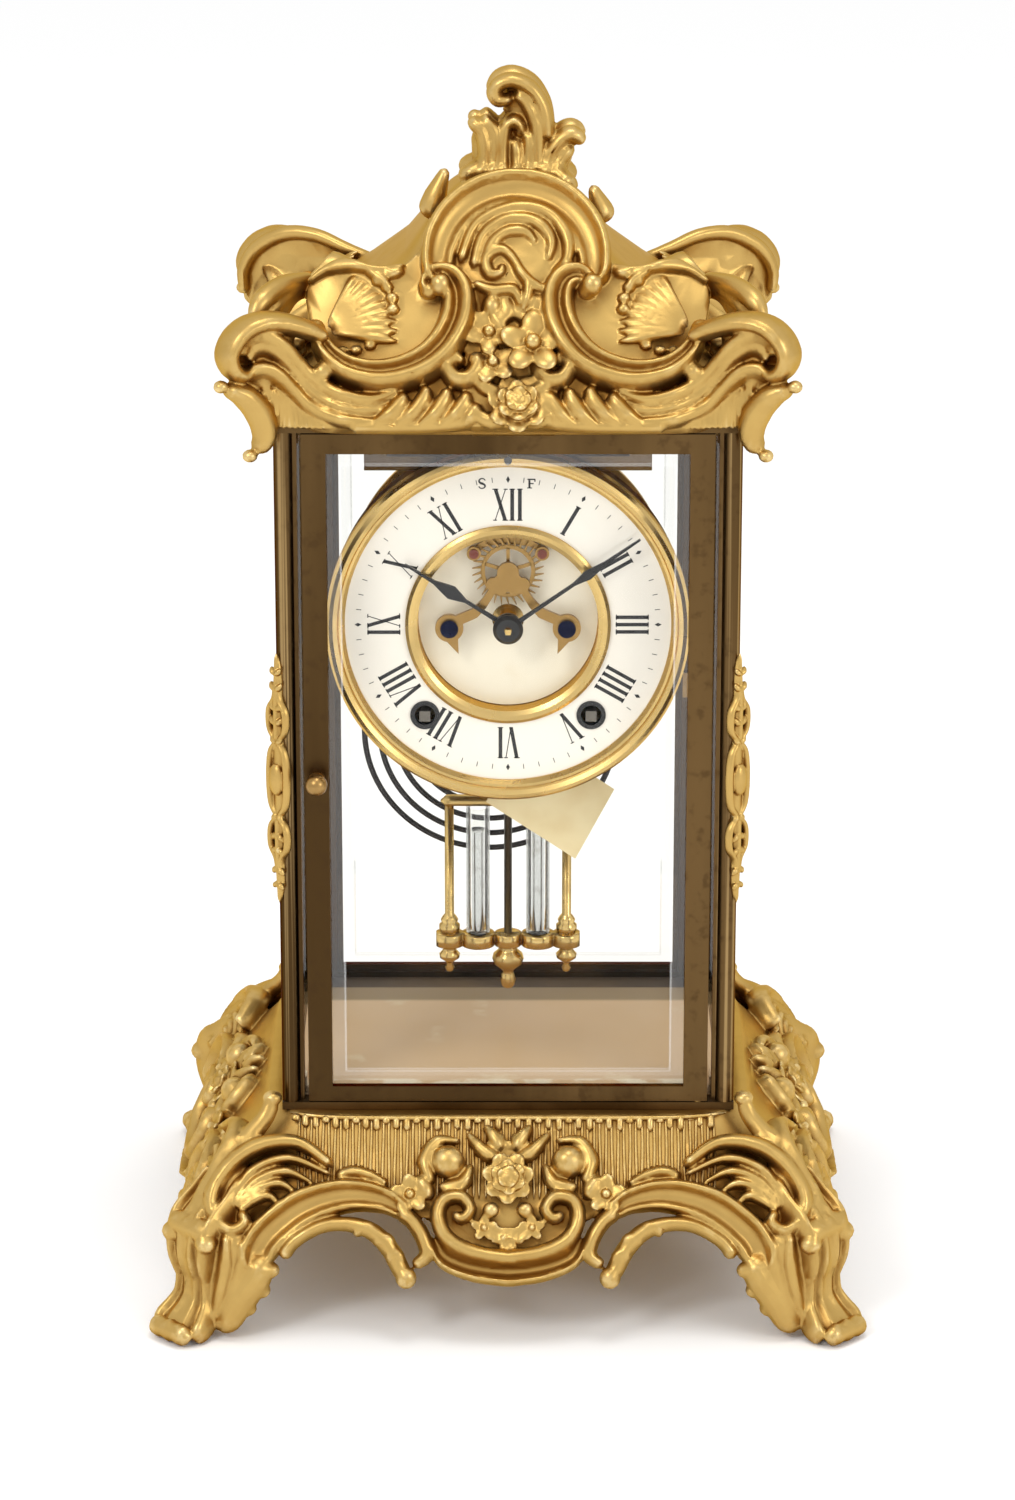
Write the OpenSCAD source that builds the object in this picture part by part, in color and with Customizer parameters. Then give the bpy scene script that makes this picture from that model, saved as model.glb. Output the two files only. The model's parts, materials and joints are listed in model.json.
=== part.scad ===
// Crystal regulator clock: glazed brass case between two rococo castings, eight-day striking movement.
// Millimetres. The origin is on the table under the middle of the clock, +Z is up and the front faces -Y.

/* [Case] */
// Width over the corner columns
case_w = 143; // [125:1:160]
// Depth over the corner columns
case_d = 112; // [100:1:125]
// Height of the case underside above the table
base_h = 65.5; // [60:0.5:75]
// Height of the glazed case between the castings
case_h = 223.6; // [215:0.1:240]
// Thickness of the ledge that the columns stand on
ledge_t = 2.5; // [2:0.1:4]
// Thickness of the sill layer behind the doors
sill_t = 2.5; // [2:0.1:4]
// Distance of the sill edge from the front face
sill_back = 7; // [6:0.1:9]
// Width of a side rail
rail_w = 6.5; // [6:0.1:8]
// Height of a side rail above the ledge
rail_h = 5.4; // [4:0.1:8]
// Radius of the round bar on a column
bar_r = 2.9; // [2:0.1:4]
// Width of the square body of a column
post_w = 5.1; // [4.8:0.1:6]
// Depth of the square body of a column
post_d = 5.7; // [5.4:0.1:6.5]
// Radius of the riveted tenons of the columns
tenon_r = 1.6; // [1:0.1:2]
// Thickness of the side glass
side_glass_t = 2.2; // [1.5:0.1:2.6]
// Play of the side glass in its grooves
glass_play = 0.1; // [0.05:0.01:0.3]
// Depth of the glass grooves in the columns
groove_d = 1.5; // [1:0.1:2]

/* [Doors] */
// Gap between a door edge and the column beside it
door_gap = 1.5; // [1.2:0.1:2]
// Thickness of a door frame
door_t = 5; // [4.6:0.1:5.4]
// Width of a door stile
stile_w = 7.5; // [6.5:0.1:9]
// Height of a bottom door rail
door_rail_low = 5; // [4:0.1:8]
// Height of a top door rail
door_rail_top = 6.2; // [4:0.1:8]
// Play above and below a door
door_play = 0.4; // [0.3:0.05:0.6]
// Width of the glass rebate round a door opening
rebate_w = 1.8; // [1:0.1:2.2]
// Depth of the glass rebate
rebate_d = 2.4; // [2:0.1:3]
// Thickness of the door glass
door_glass_t = 2; // [1.5:0.1:2.4]
// Play of the door glass in its rebate
pane_play = 0.2; // [0.1:0.05:0.4]
// Distance of the door pivot from the door edge
pivot_in = 3; // [2.6:0.1:3.2]
// Radius of a door pivot pin
pivot_r = 1; // [0.8:0.05:1.2]
// Radial clearance of a turning fit
run_fit = 0.05; // [0.02:0.01:0.1]
// Length of a pivot pin inside the door
pivot_len = 5; // [3:0.5:5.5]
// Height of the door knobs above the table
knob_z = 176; // [140:1:220]
// Radius of a door knob
knob_r = 3.4; // [2.5:0.1:4.5]
// Radius of the knob shaft
knob_shaft_r = 1.2; // [0.8:0.1:1.5]
// Length of a latch tongue from the shaft axis
tongue_len = 7; // [6.6:0.1:7.6]
// Width of a latch tongue
tongue_w = 3; // [2:0.1:3.6]
// Thickness of a latch tongue
tongue_t = 1.2; // [0.8:0.1:1.4]

/* [Dial] */
// Distance of the dial centre below the case top
dial_drop = 69.1; // [66:0.1:72]
// Distance of the dial face in front of the middle of the case
dial_front = 36; // [35:0.5:38]
// Radius of the porcelain seen inside the bezel
dial_r = 50.8; // [48:0.1:52]
// Width of the porcelain covered by the bezel
dial_cover = 0.8; // [0.5:0.1:1]
// Thickness of the porcelain ring
dial_t = 2; // [1.5:0.1:2.5]
// Outer radius of the bezel
bezel_r = 56.6; // [55:0.1:58]
// Height of the bezel in front of the dial face
bezel_rise = 4.4; // [3:0.1:6]
// Outer radius of the sight ring
sight_r = 32; // [30:0.1:34]
// Radius of the recessed dial centre
centre_r = 28; // [27:0.1:29]
// Depth of the recessed centre behind the dial face
recess = 6; // [5:0.1:6.5]
// Distance of the winding holes to the side of the dial centre
wind_x = 26; // [24:0.1:28]
// Distance of the winding holes below the dial centre
wind_y = 29.5; // [27:0.1:31]
// Outer radius of a winding grommet
grommet_r = 4.6; // [4:0.1:5]
// Height of the regulator arbor above the dial centre
regulator_y = 53.8; // [53:0.1:54.2]
// Radius of the regulator arbor
regulator_r = 1.2; // [0.8:0.1:1.3]
// Length of the hour hand
hour_len = 37.4; // [30:0.1:42]
// Length of the minute hand
minute_len = 49.6; // [44:0.1:50]
// Angle of the hour hand from twelve
hour_at = 302; // [0:1:359]
// Angle of the minute hand from twelve
minute_at = 55; // [0:1:359]
// Radius of the hand hubs
hub_r = 4.3; // [4:0.1:5]

/* [Movement] */
// Radius of the movement plates
plate_r = 51.5; // [50.5:0.1:52]
// Thickness of the movement plates
plate_t = 2.2; // [1.8:0.1:2.5]
// Distance of the front plate behind the dial face
plate_back = 14; // [14:0.1:14.6]
// Clear space between the plates
plate_gap = 27.8; // [27.8:0.1:29]
// Height of the escape arbor above the dial centre
escape_y = 16.6; // [16.6:0.1:16.8]
// Height of the pallet arbor and pendulum axis above the dial centre
pallet_y = 32.4; // [32.2:0.1:33]
// Teeth of the great wheels
great_n = 66; // [60:1:72]
// Module of the great wheels
great_m = 0.58; // [0.58:0.005:0.6]
// Leaves of the pinions that the great wheels drive
second_leaves = 10; // [10:1:11]
// Teeth of the second wheels
second_n = 60; // [58:1:60]
// Module of the second wheels
second_m = 0.5; // [0.49:0.005:0.5]
// Leaves of the centre pinion
centre_leaves = 12; // [11:1:12]
// Teeth of the centre wheel
centre_n = 96; // [94:1:96]
// Module of the centre wheel
centre_m = 0.32; // [0.315:0.005:0.32]
// Teeth of the third wheel
third_n = 96; // [90:1:96]
// Module of the third wheel
third_m = 0.28; // [0.27:0.005:0.28]
// Leaves of the fine pinions
fine_leaves = 8; // [8:1:9]
// Teeth of the escape wheel
escape_n = 34; // [30:1:40]
// Tip radius of the escape wheel
escape_r = 11.2; // [10:0.1:11.3]
// Direction of the strike second wheel from its great wheel
strike_dir = 100; // [95:1:105]
// Direction of the fly from the strike second wheel
fly_dir = 80; // [75:1:85]
// Turns of a mainspring
spring_turns = 6; // [4:1:8]
// Outer radius of a mainspring
spring_r = 17.3; // [15:0.1:17.6]
// Thickness of the spring strip
spring_t = 0.6; // [0.4:0.05:0.8]

/* [Pendulum and gong] */
// Distance of the pendulum behind the middle of the case
pendulum_back = 17; // [16:0.5:18]
// Distance of a side rod from the middle of the pendulum
rod_x = 20; // [18:0.5:22]
// Distance of a vial from the middle of the pendulum
vial_x = 9.8; // [8:0.1:12]
// Outer radius of a vial
vial_r = 3.9; // [3:0.1:4.5]
// Wall of a vial
vial_wall = 0.6; // [0.4:0.05:1]
// Height of the pendulum plate above the table
bob_z = 94; // [90:0.5:100]
// Thickness of the pendulum plate
bob_t = 5; // [3:0.5:7]
// Height of a vial
vial_h = 43; // [36:0.5:48]
// Height of the mercury in a vial
mercury_h = 34; // [25:0.5:38]
// Depth of the gong behind the middle of the case
gong_back = 32; // [31:0.5:33]
// Distance of the gong centre below the dial centre
gong_down = 42; // [40:0.5:43]
// Inner radius of the gong
gong_in = 31; // [30.5:0.1:31.5]
// Outer radius of the gong
gong_out = 55; // [52:0.1:55.5]
// Turns of the gong wire
gong_turns = 4.5; // [3.5:1:4.5]
// Radius of the gong wire
gong_wire = 0.95; // [0.7:0.05:1.1]

/* [Castings] */
// Height of the crown above the case
crown_h = 98.3; // [88:0.1:107]
// Reach of a crown ear out from the case corner
ear_reach = 17.5; // [14:0.1:19]
// Direction of the crown ears from the side
ear_dir = 26; // [20:1:45]
// Reach of a foot out from the case corner
foot_reach = 43; // [40:0.1:50]
// Direction of the feet from the side
foot_dir = 46; // [40:1:50]
// Wall of the castings
wall = 4; // [3:0.1:5]
// Radius of the casting screws
screw_r = 1.25; // [1:0.05:1.5]
// Thickness of the paper slip
slip_t = 0.3; // [0.2:0.05:0.4]

/* [Hidden] */

gilt = [0.80, 0.62, 0.30];
dark_brass = [0.36, 0.25, 0.13];
brass = [0.83, 0.66, 0.33];
steel = [0.62, 0.62, 0.64];
dark_steel = [0.16, 0.16, 0.18];
blue_steel = [0.10, 0.14, 0.34];
black = [0.05, 0.05, 0.05];
porcelain = [0.95, 0.94, 0.90];
clear_glass = [0.75, 0.85, 0.85, 0.35];
ruby = [0.50, 0.12, 0.08];
paper = [0.90, 0.85, 0.70];
silver = [0.80, 0.81, 0.82];

eps = 0.01;
fixed_fit = 0.02;
half_w = case_w / 2;
half_d = case_d / 2;
ledge_top = base_h + ledge_t;
sill_top = ledge_top + sill_t;
case_top = base_h + case_h;
soffit = case_top - ledge_t;
head_low = soffit - sill_t;
dial_z = case_top - dial_drop;
column_in = half_w - bar_r - 4.1;
column_y = half_d - bar_r - post_d + 0.1;
post_x1 = column_in + post_w;
post_y1 = column_y + post_d;
bar_x = half_w - bar_r;
bar_y = half_d - bar_r;
tenon_x = column_in + 2.9;
tenon_y = column_y + 3.5;
glass_x0 = column_in + 1.6;
glass_x1 = glass_x0 + side_glass_t + 2 * glass_play;
glass_floor = ledge_top + 1;
glass_roof = soffit - 1;

door_half = column_in - door_gap;
door_low = ledge_top + door_play;
door_high = soffit - door_play;
open_half = door_half - stile_w;
open_low = door_low + door_rail_low;
open_high = door_high - door_rail_top;
door_back = half_d - door_t;
pane_front = half_d - door_t + rebate_d;
pivot_x = door_half - pivot_in;
pivot_y = half_d - door_t / 2;
knob_x = door_half - stile_w / 2;
catch_play = 0.3;

ring_front = dial_front - dial_t;
plate_front = dial_front - plate_back;
plate_rear = plate_front - plate_t;
back_front = plate_rear - plate_gap;
back_rear = back_front - plate_t;
ring_r = bezel_r - 1.1;
ring_in = dial_r + 1;
disc_front = dial_front - recess;
disc_t = 1;
bridge_rear = dial_front - 1.6;
post_at = [18.3, -1.3];
post_r = 2.4;
escape_z = dial_front - 3.2;

// gear tooth proportions in modules
wheel_add = 0.7;
wheel_ded = 0.8;
leaf_add = 0.55;
leaf_ded = 1;
backlash = 0.14;
pressure = 20;

great_at = [wind_x, -wind_y];
strike_great_at = [-wind_x, -wind_y];
great_cd = (great_n + second_leaves) * great_m / 2;
second_cd = (second_n + centre_leaves) * second_m / 2;
centre_cd = (centre_n + fine_leaves) * centre_m / 2;
third_cd = (third_n + fine_leaves) * third_m / 2;
fly_leaves = 10;
fly_cd = (second_n + fly_leaves) * second_m / 2;
escape_at = [0, escape_y];
pallet_at = [0, pallet_y];
second_at = corner_of([0, 0], great_at, second_cd, great_cd);
third_at = corner_of(escape_at, [0, 0], third_cd, centre_cd);
strike_second_at = strike_great_at + great_cd * [cos(strike_dir), sin(strike_dir)];
fly_at = strike_second_at + fly_cd * [cos(fly_dir), sin(fly_dir)];
cannon_n = 12;
cannon_m = 0.5;
minute_n = 36;
minute_leaves = 10;
hour_n = 40;
motion_cd = (cannon_n + minute_n) * cannon_m / 2;
hour_m = 2 * motion_cd / (minute_leaves + hour_n);
minute_wheel_at = [0, -motion_cd];
gong_start = 15;
gong_at = [0, -gong_down];
gong_lead = 5;
strike_angle = 160;
hammer_arm = 36;
hammer_head_r = 3.2;
hammer_head_l = 6;
hammer_gap = 0.5;
head_at = gong_at + (gong_out + gong_wire + hammer_gap + hammer_head_l / 2) * [cos(strike_angle), sin(strike_angle)];
hammer_at = head_at + hammer_arm * [sin(strike_angle), -cos(strike_angle)];
pin_circle = 12;
pillar_places = [[38, 28], [-38, 28], [-6, -47.5]];
pillar_r = 3;
screw_ring = plate_r - 1.3;
screw_angles = [0, 60, 120, 180];
pinion_rear = back_front + 2;
hand_t = 1;

// points and curves
function angle_of(v) = atan2(v[1], v[0]);
function unit(v) = v / norm(v);
function mix(a, b, t) = a + (b - a) * t;
function corner_of(a, b, ra, rb) =
    let (d = norm(b - a), u = (b - a) / d, x = (d * d + ra * ra - rb * rb) / (2 * d), h = sqrt(ra * ra - x * x))
    a + x * u + h * [-u[1], u[0]];
ring_steps = 20;

// involute wheel teeth: half the tooth angle at radius r, then one closed outline
function involute(a) = tan(a) * 180 / PI - a;
function tooth_half(n, m, r) =
    let (pitch = n * m / 2, base = pitch * cos(pressure), a = r <= base ? 0 : acos(base / r))
    90 / n - backlash * m / pitch * 90 / PI + involute(pressure) - involute(a);
function tooth_radii(n, m, add, ded) =
    let (pitch = n * m / 2)
    [pitch - ded * m, pitch, pitch + add * m];
function polar(r, a) = [r * cos(a), r * sin(a)];
function gear_outline(n, m, add, ded) =
    let (radii = tooth_radii(n, m, add, ded))
    [for (i = [0 : n - 1]) each concat(
        [for (r = radii) polar(r, 360 * i / n - tooth_half(n, m, r))],
        [for (k = [2 : -1 : 0]) polar(radii[k], 360 * i / n + tooth_half(n, m, radii[k]))])];
// turn of a follower that puts its gap on a tooth of its driver
function mesh_turn(dir, turn, n, follower_n) = dir + 180 + 180 / follower_n - (turn - dir) * n / follower_n;

module box(lo, hi) {
    translate(lo) cube(hi - lo);
}

module rod(r, z0, z1) {
    translate([0, 0, z0]) cylinder(r = r, h = z1 - z0, $fn = 64);
}

module tube(r, hole, z0, z1) {
    difference() {
        rod(r, z0, z1);
        rod(hole, z0 - 1, z1 + 1);
    }
}

// local x is to the right, y up and z out of the dial
module at_dial() {
    translate([0, 0, dial_z]) rotate([90, 0, 0]) children();
}

module wheel(n, m, z0, z1, turn) {
    rotate(turn) translate([0, 0, z0]) linear_extrude(z1 - z0) polygon(gear_outline(n, m, wheel_add, wheel_ded));
}

module pinion(n, m, z0, z1, turn) {
    rotate(turn) translate([0, 0, z0]) linear_extrude(z1 - z0) polygon(gear_outline(n, m, leaf_add, leaf_ded));
}

// round windows that leave arms in a wheel
module windows(count, at, r, z0, z1) {
    for (i = [0 : count - 1]) rotate(360 * i / count + 20) translate([at, 0, 0]) rod(r, z0 - 1, z1 + 1);
}

// one cast stroke along a path in space: half_t across the face, half_d out of it
module stroke(path, out, half_t, half_d, end_t) {
    n = len(path);
    sides = 5;
    points = [for (i = [0 : n - 1])
        let (t = unit(path[min(i + 1, n - 1)] - path[max(i - 1, 0)]),
            s = unit(cross(t, out)), q = cross(t, s), k = mix(1, end_t, i / (n - 1)))
        for (j = [0 : sides - 1])
            path[i] + s * half_t * k * cos(360 * j / sides) + q * half_d * k * sin(360 * j / sides)];
    faces = concat(
        [[for (j = [0 : sides - 1]) j]],
        [for (i = [0 : n - 2]) for (j = [0 : sides - 1])
            [i * sides + j, (i + 1) * sides + j, (i + 1) * sides + (j + 1) % sides, i * sides + (j + 1) % sides]],
        [[for (j = [sides - 1 : -1 : 0]) (n - 1) * sides + j]]);
    polyhedron(points, faces, convexity = 8);
}

// solid through rounded-rectangle rings, each [z, half width, half depth]
module loft(levels, power, count) {
    points = [for (l = levels) for (k = [0 : count - 1])
        let (c = cos(360 * k / count), s = sin(360 * k / count))
        [l[1] * sign(c) * pow(abs(c), 2 / power), l[2] * sign(s) * pow(abs(s), 2 / power), l[0]]];
    faces = concat(
        [[for (k = [0 : count - 1]) k]],
        [for (i = [0 : len(levels) - 2]) for (k = [0 : count - 1])
            [i * count + k, (i + 1) * count + k, (i + 1) * count + (k + 1) % count, i * count + (k + 1) % count]],
        [[for (k = [count - 1 : -1 : 0]) (len(levels) - 1) * count + k]]);
    polyhedron(points, faces, convexity = 4);
}

module four_corners() {
    for (sx = [0, 1]) for (sy = [0, 1]) mirror([sx, 0, 0]) mirror([0, sy, 0]) children();
}

module front_and_back() {
    for (a = [0, 180]) rotate(a) children();
}

module left_and_right() {
    for (s = [0, 1]) mirror([s, 0, 0]) children();
}

// small round flower boss
module bud(at, r) {
    hull() {
        translate(at) sphere(r = r, $fn = 7);
        translate(at + [0, r, 0]) sphere(r = r * 0.7, $fn = 5);
    }
}

// base casting: the ornament keeps its place on the flared walls when the case or the base height changes
base_tall = base_h / 65.5;
base_wide = half_w / 71.5;
base_deep = half_d / 56;
base_flare = [[14, 32.5, 34], [24, 30.5, 31], [34, 26.5, 27], [44, 21.5, 21.5], [52, 16, 16], [58, 11, 10.5],
    [62, 7.5, 7], [65.5, 5.5, 5.2]];
base_levels = [for (l = base_flare) [l[0] * base_tall, half_w + l[1], half_d + l[2]]];
function base_a(z) = lookup(z, [for (l = base_levels) [l[0], l[1]]]);
function base_b(z) = lookup(z, [for (l = base_levels) [l[0], l[2]]]);
deck_t = 3;
deck_low = base_h - deck_t;
deck_rim = 13;
apron = [[-120, -1], [-120, 14], [-92, 22], [-84, 33], [-70, 42], [-57, 44], [-46, 38], [-38, 27], [-32, 20],
    [-25, 25], [-12, 27], [0, 24]];
side_apron = [[-110, -1], [-110, 14], [-74, 22], [-66, 33], [-54, 42], [-42, 43], [-33, 36], [-26, 26], [-20, 21],
    [-12, 26], [0, 24]];

function mirrored(p) = concat(p, [for (i = [len(p) - 2 : -1 : 0]) [-p[i][0], p[i][1]]]);
function scaled(p, sx, sy) = [for (q = p) [q[0] * sx, q[1] * sy]];

module base_bud(x, z, lift, r) {
    bud([x * base_wide, -base_b(z * base_tall) - lift, z * base_tall], r);
}

module base_front_strokes() {
    out = [0, -0.85, 0.5];
    function on_base(p, lift) = [for (q = scaled(p, base_wide, base_tall)) [q[0], -base_b(q[1]) - lift, q[1]]];
    left_and_right() {
        stroke(on_base([[-86, 31], [-74, 44], [-58, 48], [-45, 41], [-36, 28], [-32, 22]], 0), out, 3, 4, 0.8);
        stroke(on_base([[-64, 46], [-60, 57], [-72, 62], [-84, 55], [-85, 45], [-78, 44]], 0), out, 2.6, 4, 0.7);
        stroke(on_base([[0, 27], [-13, 30], [-22, 39], [-21, 50], [-13, 53]], 0.5), out, 2.6, 4, 0.7);
        base_bud(-30.5, 48, 2, 4.4);
        base_bud(-19, 57, 2, 3.4);
    }
    base_bud(0, 53, 3, 7);
    base_bud(0, 31, 2, 5);
}

module base_side_strokes() {
    out = [0.85, 0, 0.5];
    function on_side(p, lift) = [for (q = scaled(p, base_deep, base_tall)) [base_a(q[1]) + lift, q[0], q[1]]];
    for (s = [0, 1]) mirror([0, s, 0]) {
        stroke(on_side([[-68, 31], [-56, 44], [-42, 47], [-31, 38], [-24, 27], [-20, 22]], 0), out, 3, 4, 0.8);
        stroke(on_side([[0, 27], [-12, 30], [-18, 40], [-14, 52]], 0.5), out, 2.6, 4, 0.7);
    }
    translate([base_a(50 * base_tall) + 1, 0, 50 * base_tall]) sphere(r = 6.5, $fn = 8);
}

module leg() {
    corner = [half_w + 5, half_d + 1.5, 0];
    dir = [cos(foot_dir), sin(foot_dir), 0];
    out = [-sin(foot_dir), cos(foot_dir), 0];
    function in_plane(p) = [for (q = scaled(p, foot_reach / 48, base_tall)) corner + dir * q[0] + [0, 0, q[1]]];
    stroke(in_plane([[-3, 72], [2, 65], [9, 54], [19, 43], [28, 36], [34, 28], [33, 18], [36, 8], [43, 1], [47, -6]]),
        out, 5, 7.5, 1);
    stroke(in_plane([[24, 33], [32, 37], [39, 34], [38, 27]]), out, 4.2, 9, 0.8);
    stroke(in_plane([[34, 12], [41, 9], [46, 5], [45, -4]]), out, 4, 9.5, 1);
}

module base_casting() {
    color(gilt) difference() {
        union() {
            difference() {
                loft(base_levels, 7, ring_steps);
                loft([for (l = base_levels) [l[0] < deck_low ? l[0] - 1 : deck_low, l[1] - wall, l[2] - wall]],
                    7, ring_steps);
                translate([0, 150, 0]) rotate([90, 0, 0]) linear_extrude(300)
                    polygon(scaled(mirrored(apron), base_wide, base_tall));
                translate([-150, 0, 0]) rotate([90, 0, 90]) linear_extrude(300)
                    polygon(scaled(mirrored(side_apron), base_deep, base_tall));
            }
            front_and_back() base_front_strokes();
            front_and_back() base_side_strokes();
            four_corners() leg();
        }
        box([-half_w + deck_rim, -half_d + deck_rim + 1, deck_low - 1],
            [half_w - deck_rim, half_d - deck_rim - 1, base_h + 1]);
        box([-half_w - 0.3, -half_d - 0.3, base_h], [half_w + 0.3, half_d + 0.3, base_h + 40]);
        for (p = casting_places(tenon_x - 1, 35)) translate(p) translate([0, 0, deck_low - 20])
            cylinder(r = screw_r + 0.6, h = 30, $fn = 12);
        box([-200, -200, -20], [200, 200, 0]);
    }
}

// case frame
function casting_places(x, y) = [[x, y, 0], [x, -y, 0], [-x, y, 0], [-x, -y, 0]];
crown_places = casting_places(52, 40);
base_places = casting_places(tenon_x - 1, 35);
carrier_x = 41;
carrier_z = 28;
carrier_head_r = 2.2;

module frame_plate() {
    union() {
        box([-half_w, -half_d, 0], [half_w, half_d, ledge_t]);
        box([-column_in + 0.5, -half_d + sill_back, 0], [column_in - 0.5, half_d - sill_back, ledge_t + sill_t]);
        left_and_right() box([column_in - 0.5, -column_y, 0], [column_in - 0.5 + rail_w, column_y, ledge_t + rail_h]);
    }
}

module frame_cuts() {
    left_and_right() box([glass_x0, -half_d, ledge_t + 1], [glass_x1, half_d, ledge_t + rail_h + 1]);
    four_corners() translate([tenon_x, tenon_y, 0]) rod(tenon_r + fixed_fit, -1, ledge_t + 1);
}

module pivot_holes(z0, z1) {
    front_and_back() translate([pivot_x, -pivot_y, 0]) rod(pivot_r + fixed_fit, z0, z1);
}

module bottom_frame() {
    color(dark_brass) difference() {
        translate([0, 0, base_h]) difference() {
            frame_plate();
            frame_cuts();
        }
        pivot_holes(base_h - 1, ledge_top + 1);
        for (p = base_places) translate(p) rod(screw_r + fixed_fit, base_h - 1, ledge_top + 0.5);
    }
}

module top_frame() {
    color(dark_brass) difference() {
        translate([0, 0, case_top]) mirror([0, 0, 1]) difference() {
            frame_plate();
            frame_cuts();
        }
        pivot_holes(soffit - 1, case_top + 1);
        for (p = crown_places) translate(p) rod(screw_r + fixed_fit, head_low - 1, case_top + 1);
        for (s = [-1, 1]) translate([s * carrier_x, -carrier_z, 0]) rod(screw_r + fixed_fit, head_low - 1, case_top + 1);
    }
}

module column_body() {
    difference() {
        union() {
            box([column_in, column_y, ledge_top], [post_x1, post_y1, soffit]);
            translate([bar_x, bar_y, 0]) rod(bar_r, ledge_top, soffit);
            translate([tenon_x, tenon_y, 0]) rod(tenon_r, base_h + 0.1, case_top - 0.1);
        }
        box([glass_x0, column_y - 1, ledge_top - 1], [glass_x1, column_y + groove_d, soffit + 1]);
    }
}

// the tongue swings up from below, so the slot reaches as low as its corner does beside the column
latch_sweep = sqrt(pow(tongue_len, 2) + pow(tongue_w / 2, 2) - pow(column_in - knob_x, 2));

module latch_slot() {
    box([column_in - 1, door_back - tongue_t - catch_play, knob_z - latch_sweep - catch_play],
        [knob_x + tongue_len + catch_play, door_back + catch_play, knob_z + tongue_w / 2 + catch_play]);
}

module column_front_left() {
    color(dark_brass) rotate(180) difference() {
        column_body();
        latch_slot();
    }
}

module column_rear_right() {
    color(dark_brass) difference() {
        column_body();
        latch_slot();
    }
}

module column_front_right() {
    color(dark_brass) mirror([0, 1, 0]) column_body();
}

module column_rear_left() {
    color(dark_brass) mirror([1, 0, 0]) column_body();
}

module side_glass() {
    box([glass_x0 + glass_play, -column_y - groove_d + glass_play, glass_floor],
        [glass_x1 - glass_play, column_y + groove_d - glass_play, glass_roof - glass_play]);
}

module glass_right() {
    color(clear_glass) side_glass();
}

module glass_left() {
    color(clear_glass) mirror([1, 0, 0]) side_glass();
}

module corner_mount() {
    mid = knob_z;
    difference() {
        union() {
            hull() {
                translate([bar_x + 1.6, bar_y + 1.6, mid + 6]) sphere(r = 4, $fn = 9);
                translate([bar_x + 1.6, bar_y + 1.6, mid - 6]) sphere(r = 4, $fn = 9);
            }
            for (s = [-1, 1]) {
                hull() {
                    translate([bar_x + 1, bar_y + 1, mid + s * 10]) sphere(r = 4.4, $fn = 9);
                    translate([bar_x + 1.4, bar_y + 1.4, mid + s * 22]) sphere(r = 3.2, $fn = 9);
                }
                hull() {
                    translate([bar_x + 1.4, bar_y + 1.4, mid + s * 22]) sphere(r = 3.2, $fn = 9);
                    translate([bar_x + 1.2, bar_y + 1.2, mid + s * 40]) sphere(r = 2.3, $fn = 9);
                }
            }
        }
        translate([bar_x, bar_y, mid]) cylinder(r = bar_r + 0.05, h = 120, center = true, $fn = 32);
        box([column_in - 10, column_y - 10, mid - 60], [post_x1 + 0.05, post_y1 + 0.05, mid + 60]);
        box([column_in - 10, column_y - 10, mid - 60], [bar_x - 2, half_d + 10, mid + 60]);
        box([column_in - 10, column_y - 10, mid - 60], [half_w + 10, bar_y - 2, mid + 60]);
    }
}

module corner_mounts() {
    color(gilt) four_corners() corner_mount();
}

// doors
module door_frame() {
    difference() {
        box([-door_half, -half_d, door_low], [door_half, -door_back, door_high]);
        box([-open_half, -half_d - 1, open_low], [open_half, -door_back + 1, open_high]);
        box([-open_half - rebate_w, -pane_front, open_low - rebate_w], [open_half + rebate_w, 0, open_high + rebate_w]);
        translate([pivot_x, -pivot_y, 0]) rod(pivot_r + run_fit, door_low - 1, door_low + pivot_len + 1);
        translate([pivot_x, -pivot_y, 0]) rod(pivot_r + run_fit, door_high - pivot_len - 1, door_high + 1);
        translate([-knob_x, 0, knob_z]) rotate([90, 0, 0]) rod(knob_shaft_r + run_fit, door_back - 1, half_d + 1);
    }
}

module door_pane() {
    edge = rebate_w - pane_play;
    box([-open_half - edge, -pane_front, open_low - edge], [open_half + edge, -pane_front + door_glass_t, open_high + edge]);
}

module knob() {
    collar_r = 2.6;
    collar_t = 1.2;
    neck_r = 1.5;
    translate([-knob_x, 0, knob_z]) rotate([90, 0, 0]) {
        rod(knob_shaft_r, door_back - tongue_t, half_d + collar_t);
        rod(collar_r, half_d, half_d + collar_t);
        rod(neck_r, half_d + collar_t - eps, half_d + collar_t + 3);
        translate([0, 0, half_d + collar_t + 1.4 + knob_r]) sphere(r = knob_r, $fn = 48);
        box([-tongue_w / 2, -tongue_len, door_back - tongue_t], [tongue_w / 2, tongue_w / 2, door_back]);
    }
}

module front_door_frame() {
    color(dark_brass) door_frame();
}

module front_glass() {
    color(clear_glass) door_pane();
}

module front_knob() {
    color(brass) knob();
}

module rear_door_frame() {
    color(dark_brass) rotate(180) door_frame();
}

module rear_glass() {
    color(clear_glass) rotate(180) door_pane();
}

module rear_knob() {
    color(brass) rotate(180) knob();
}

module door_pivots() {
    washer_r = 2.2;
    color(brass) front_and_back() translate([pivot_x, -pivot_y, 0]) {
        rod(pivot_r, base_h + 0.1, door_low + pivot_len);
        rod(washer_r, ledge_top, door_low);
        rod(pivot_r, door_high - pivot_len, case_top - 0.1);
    }
}

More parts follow.
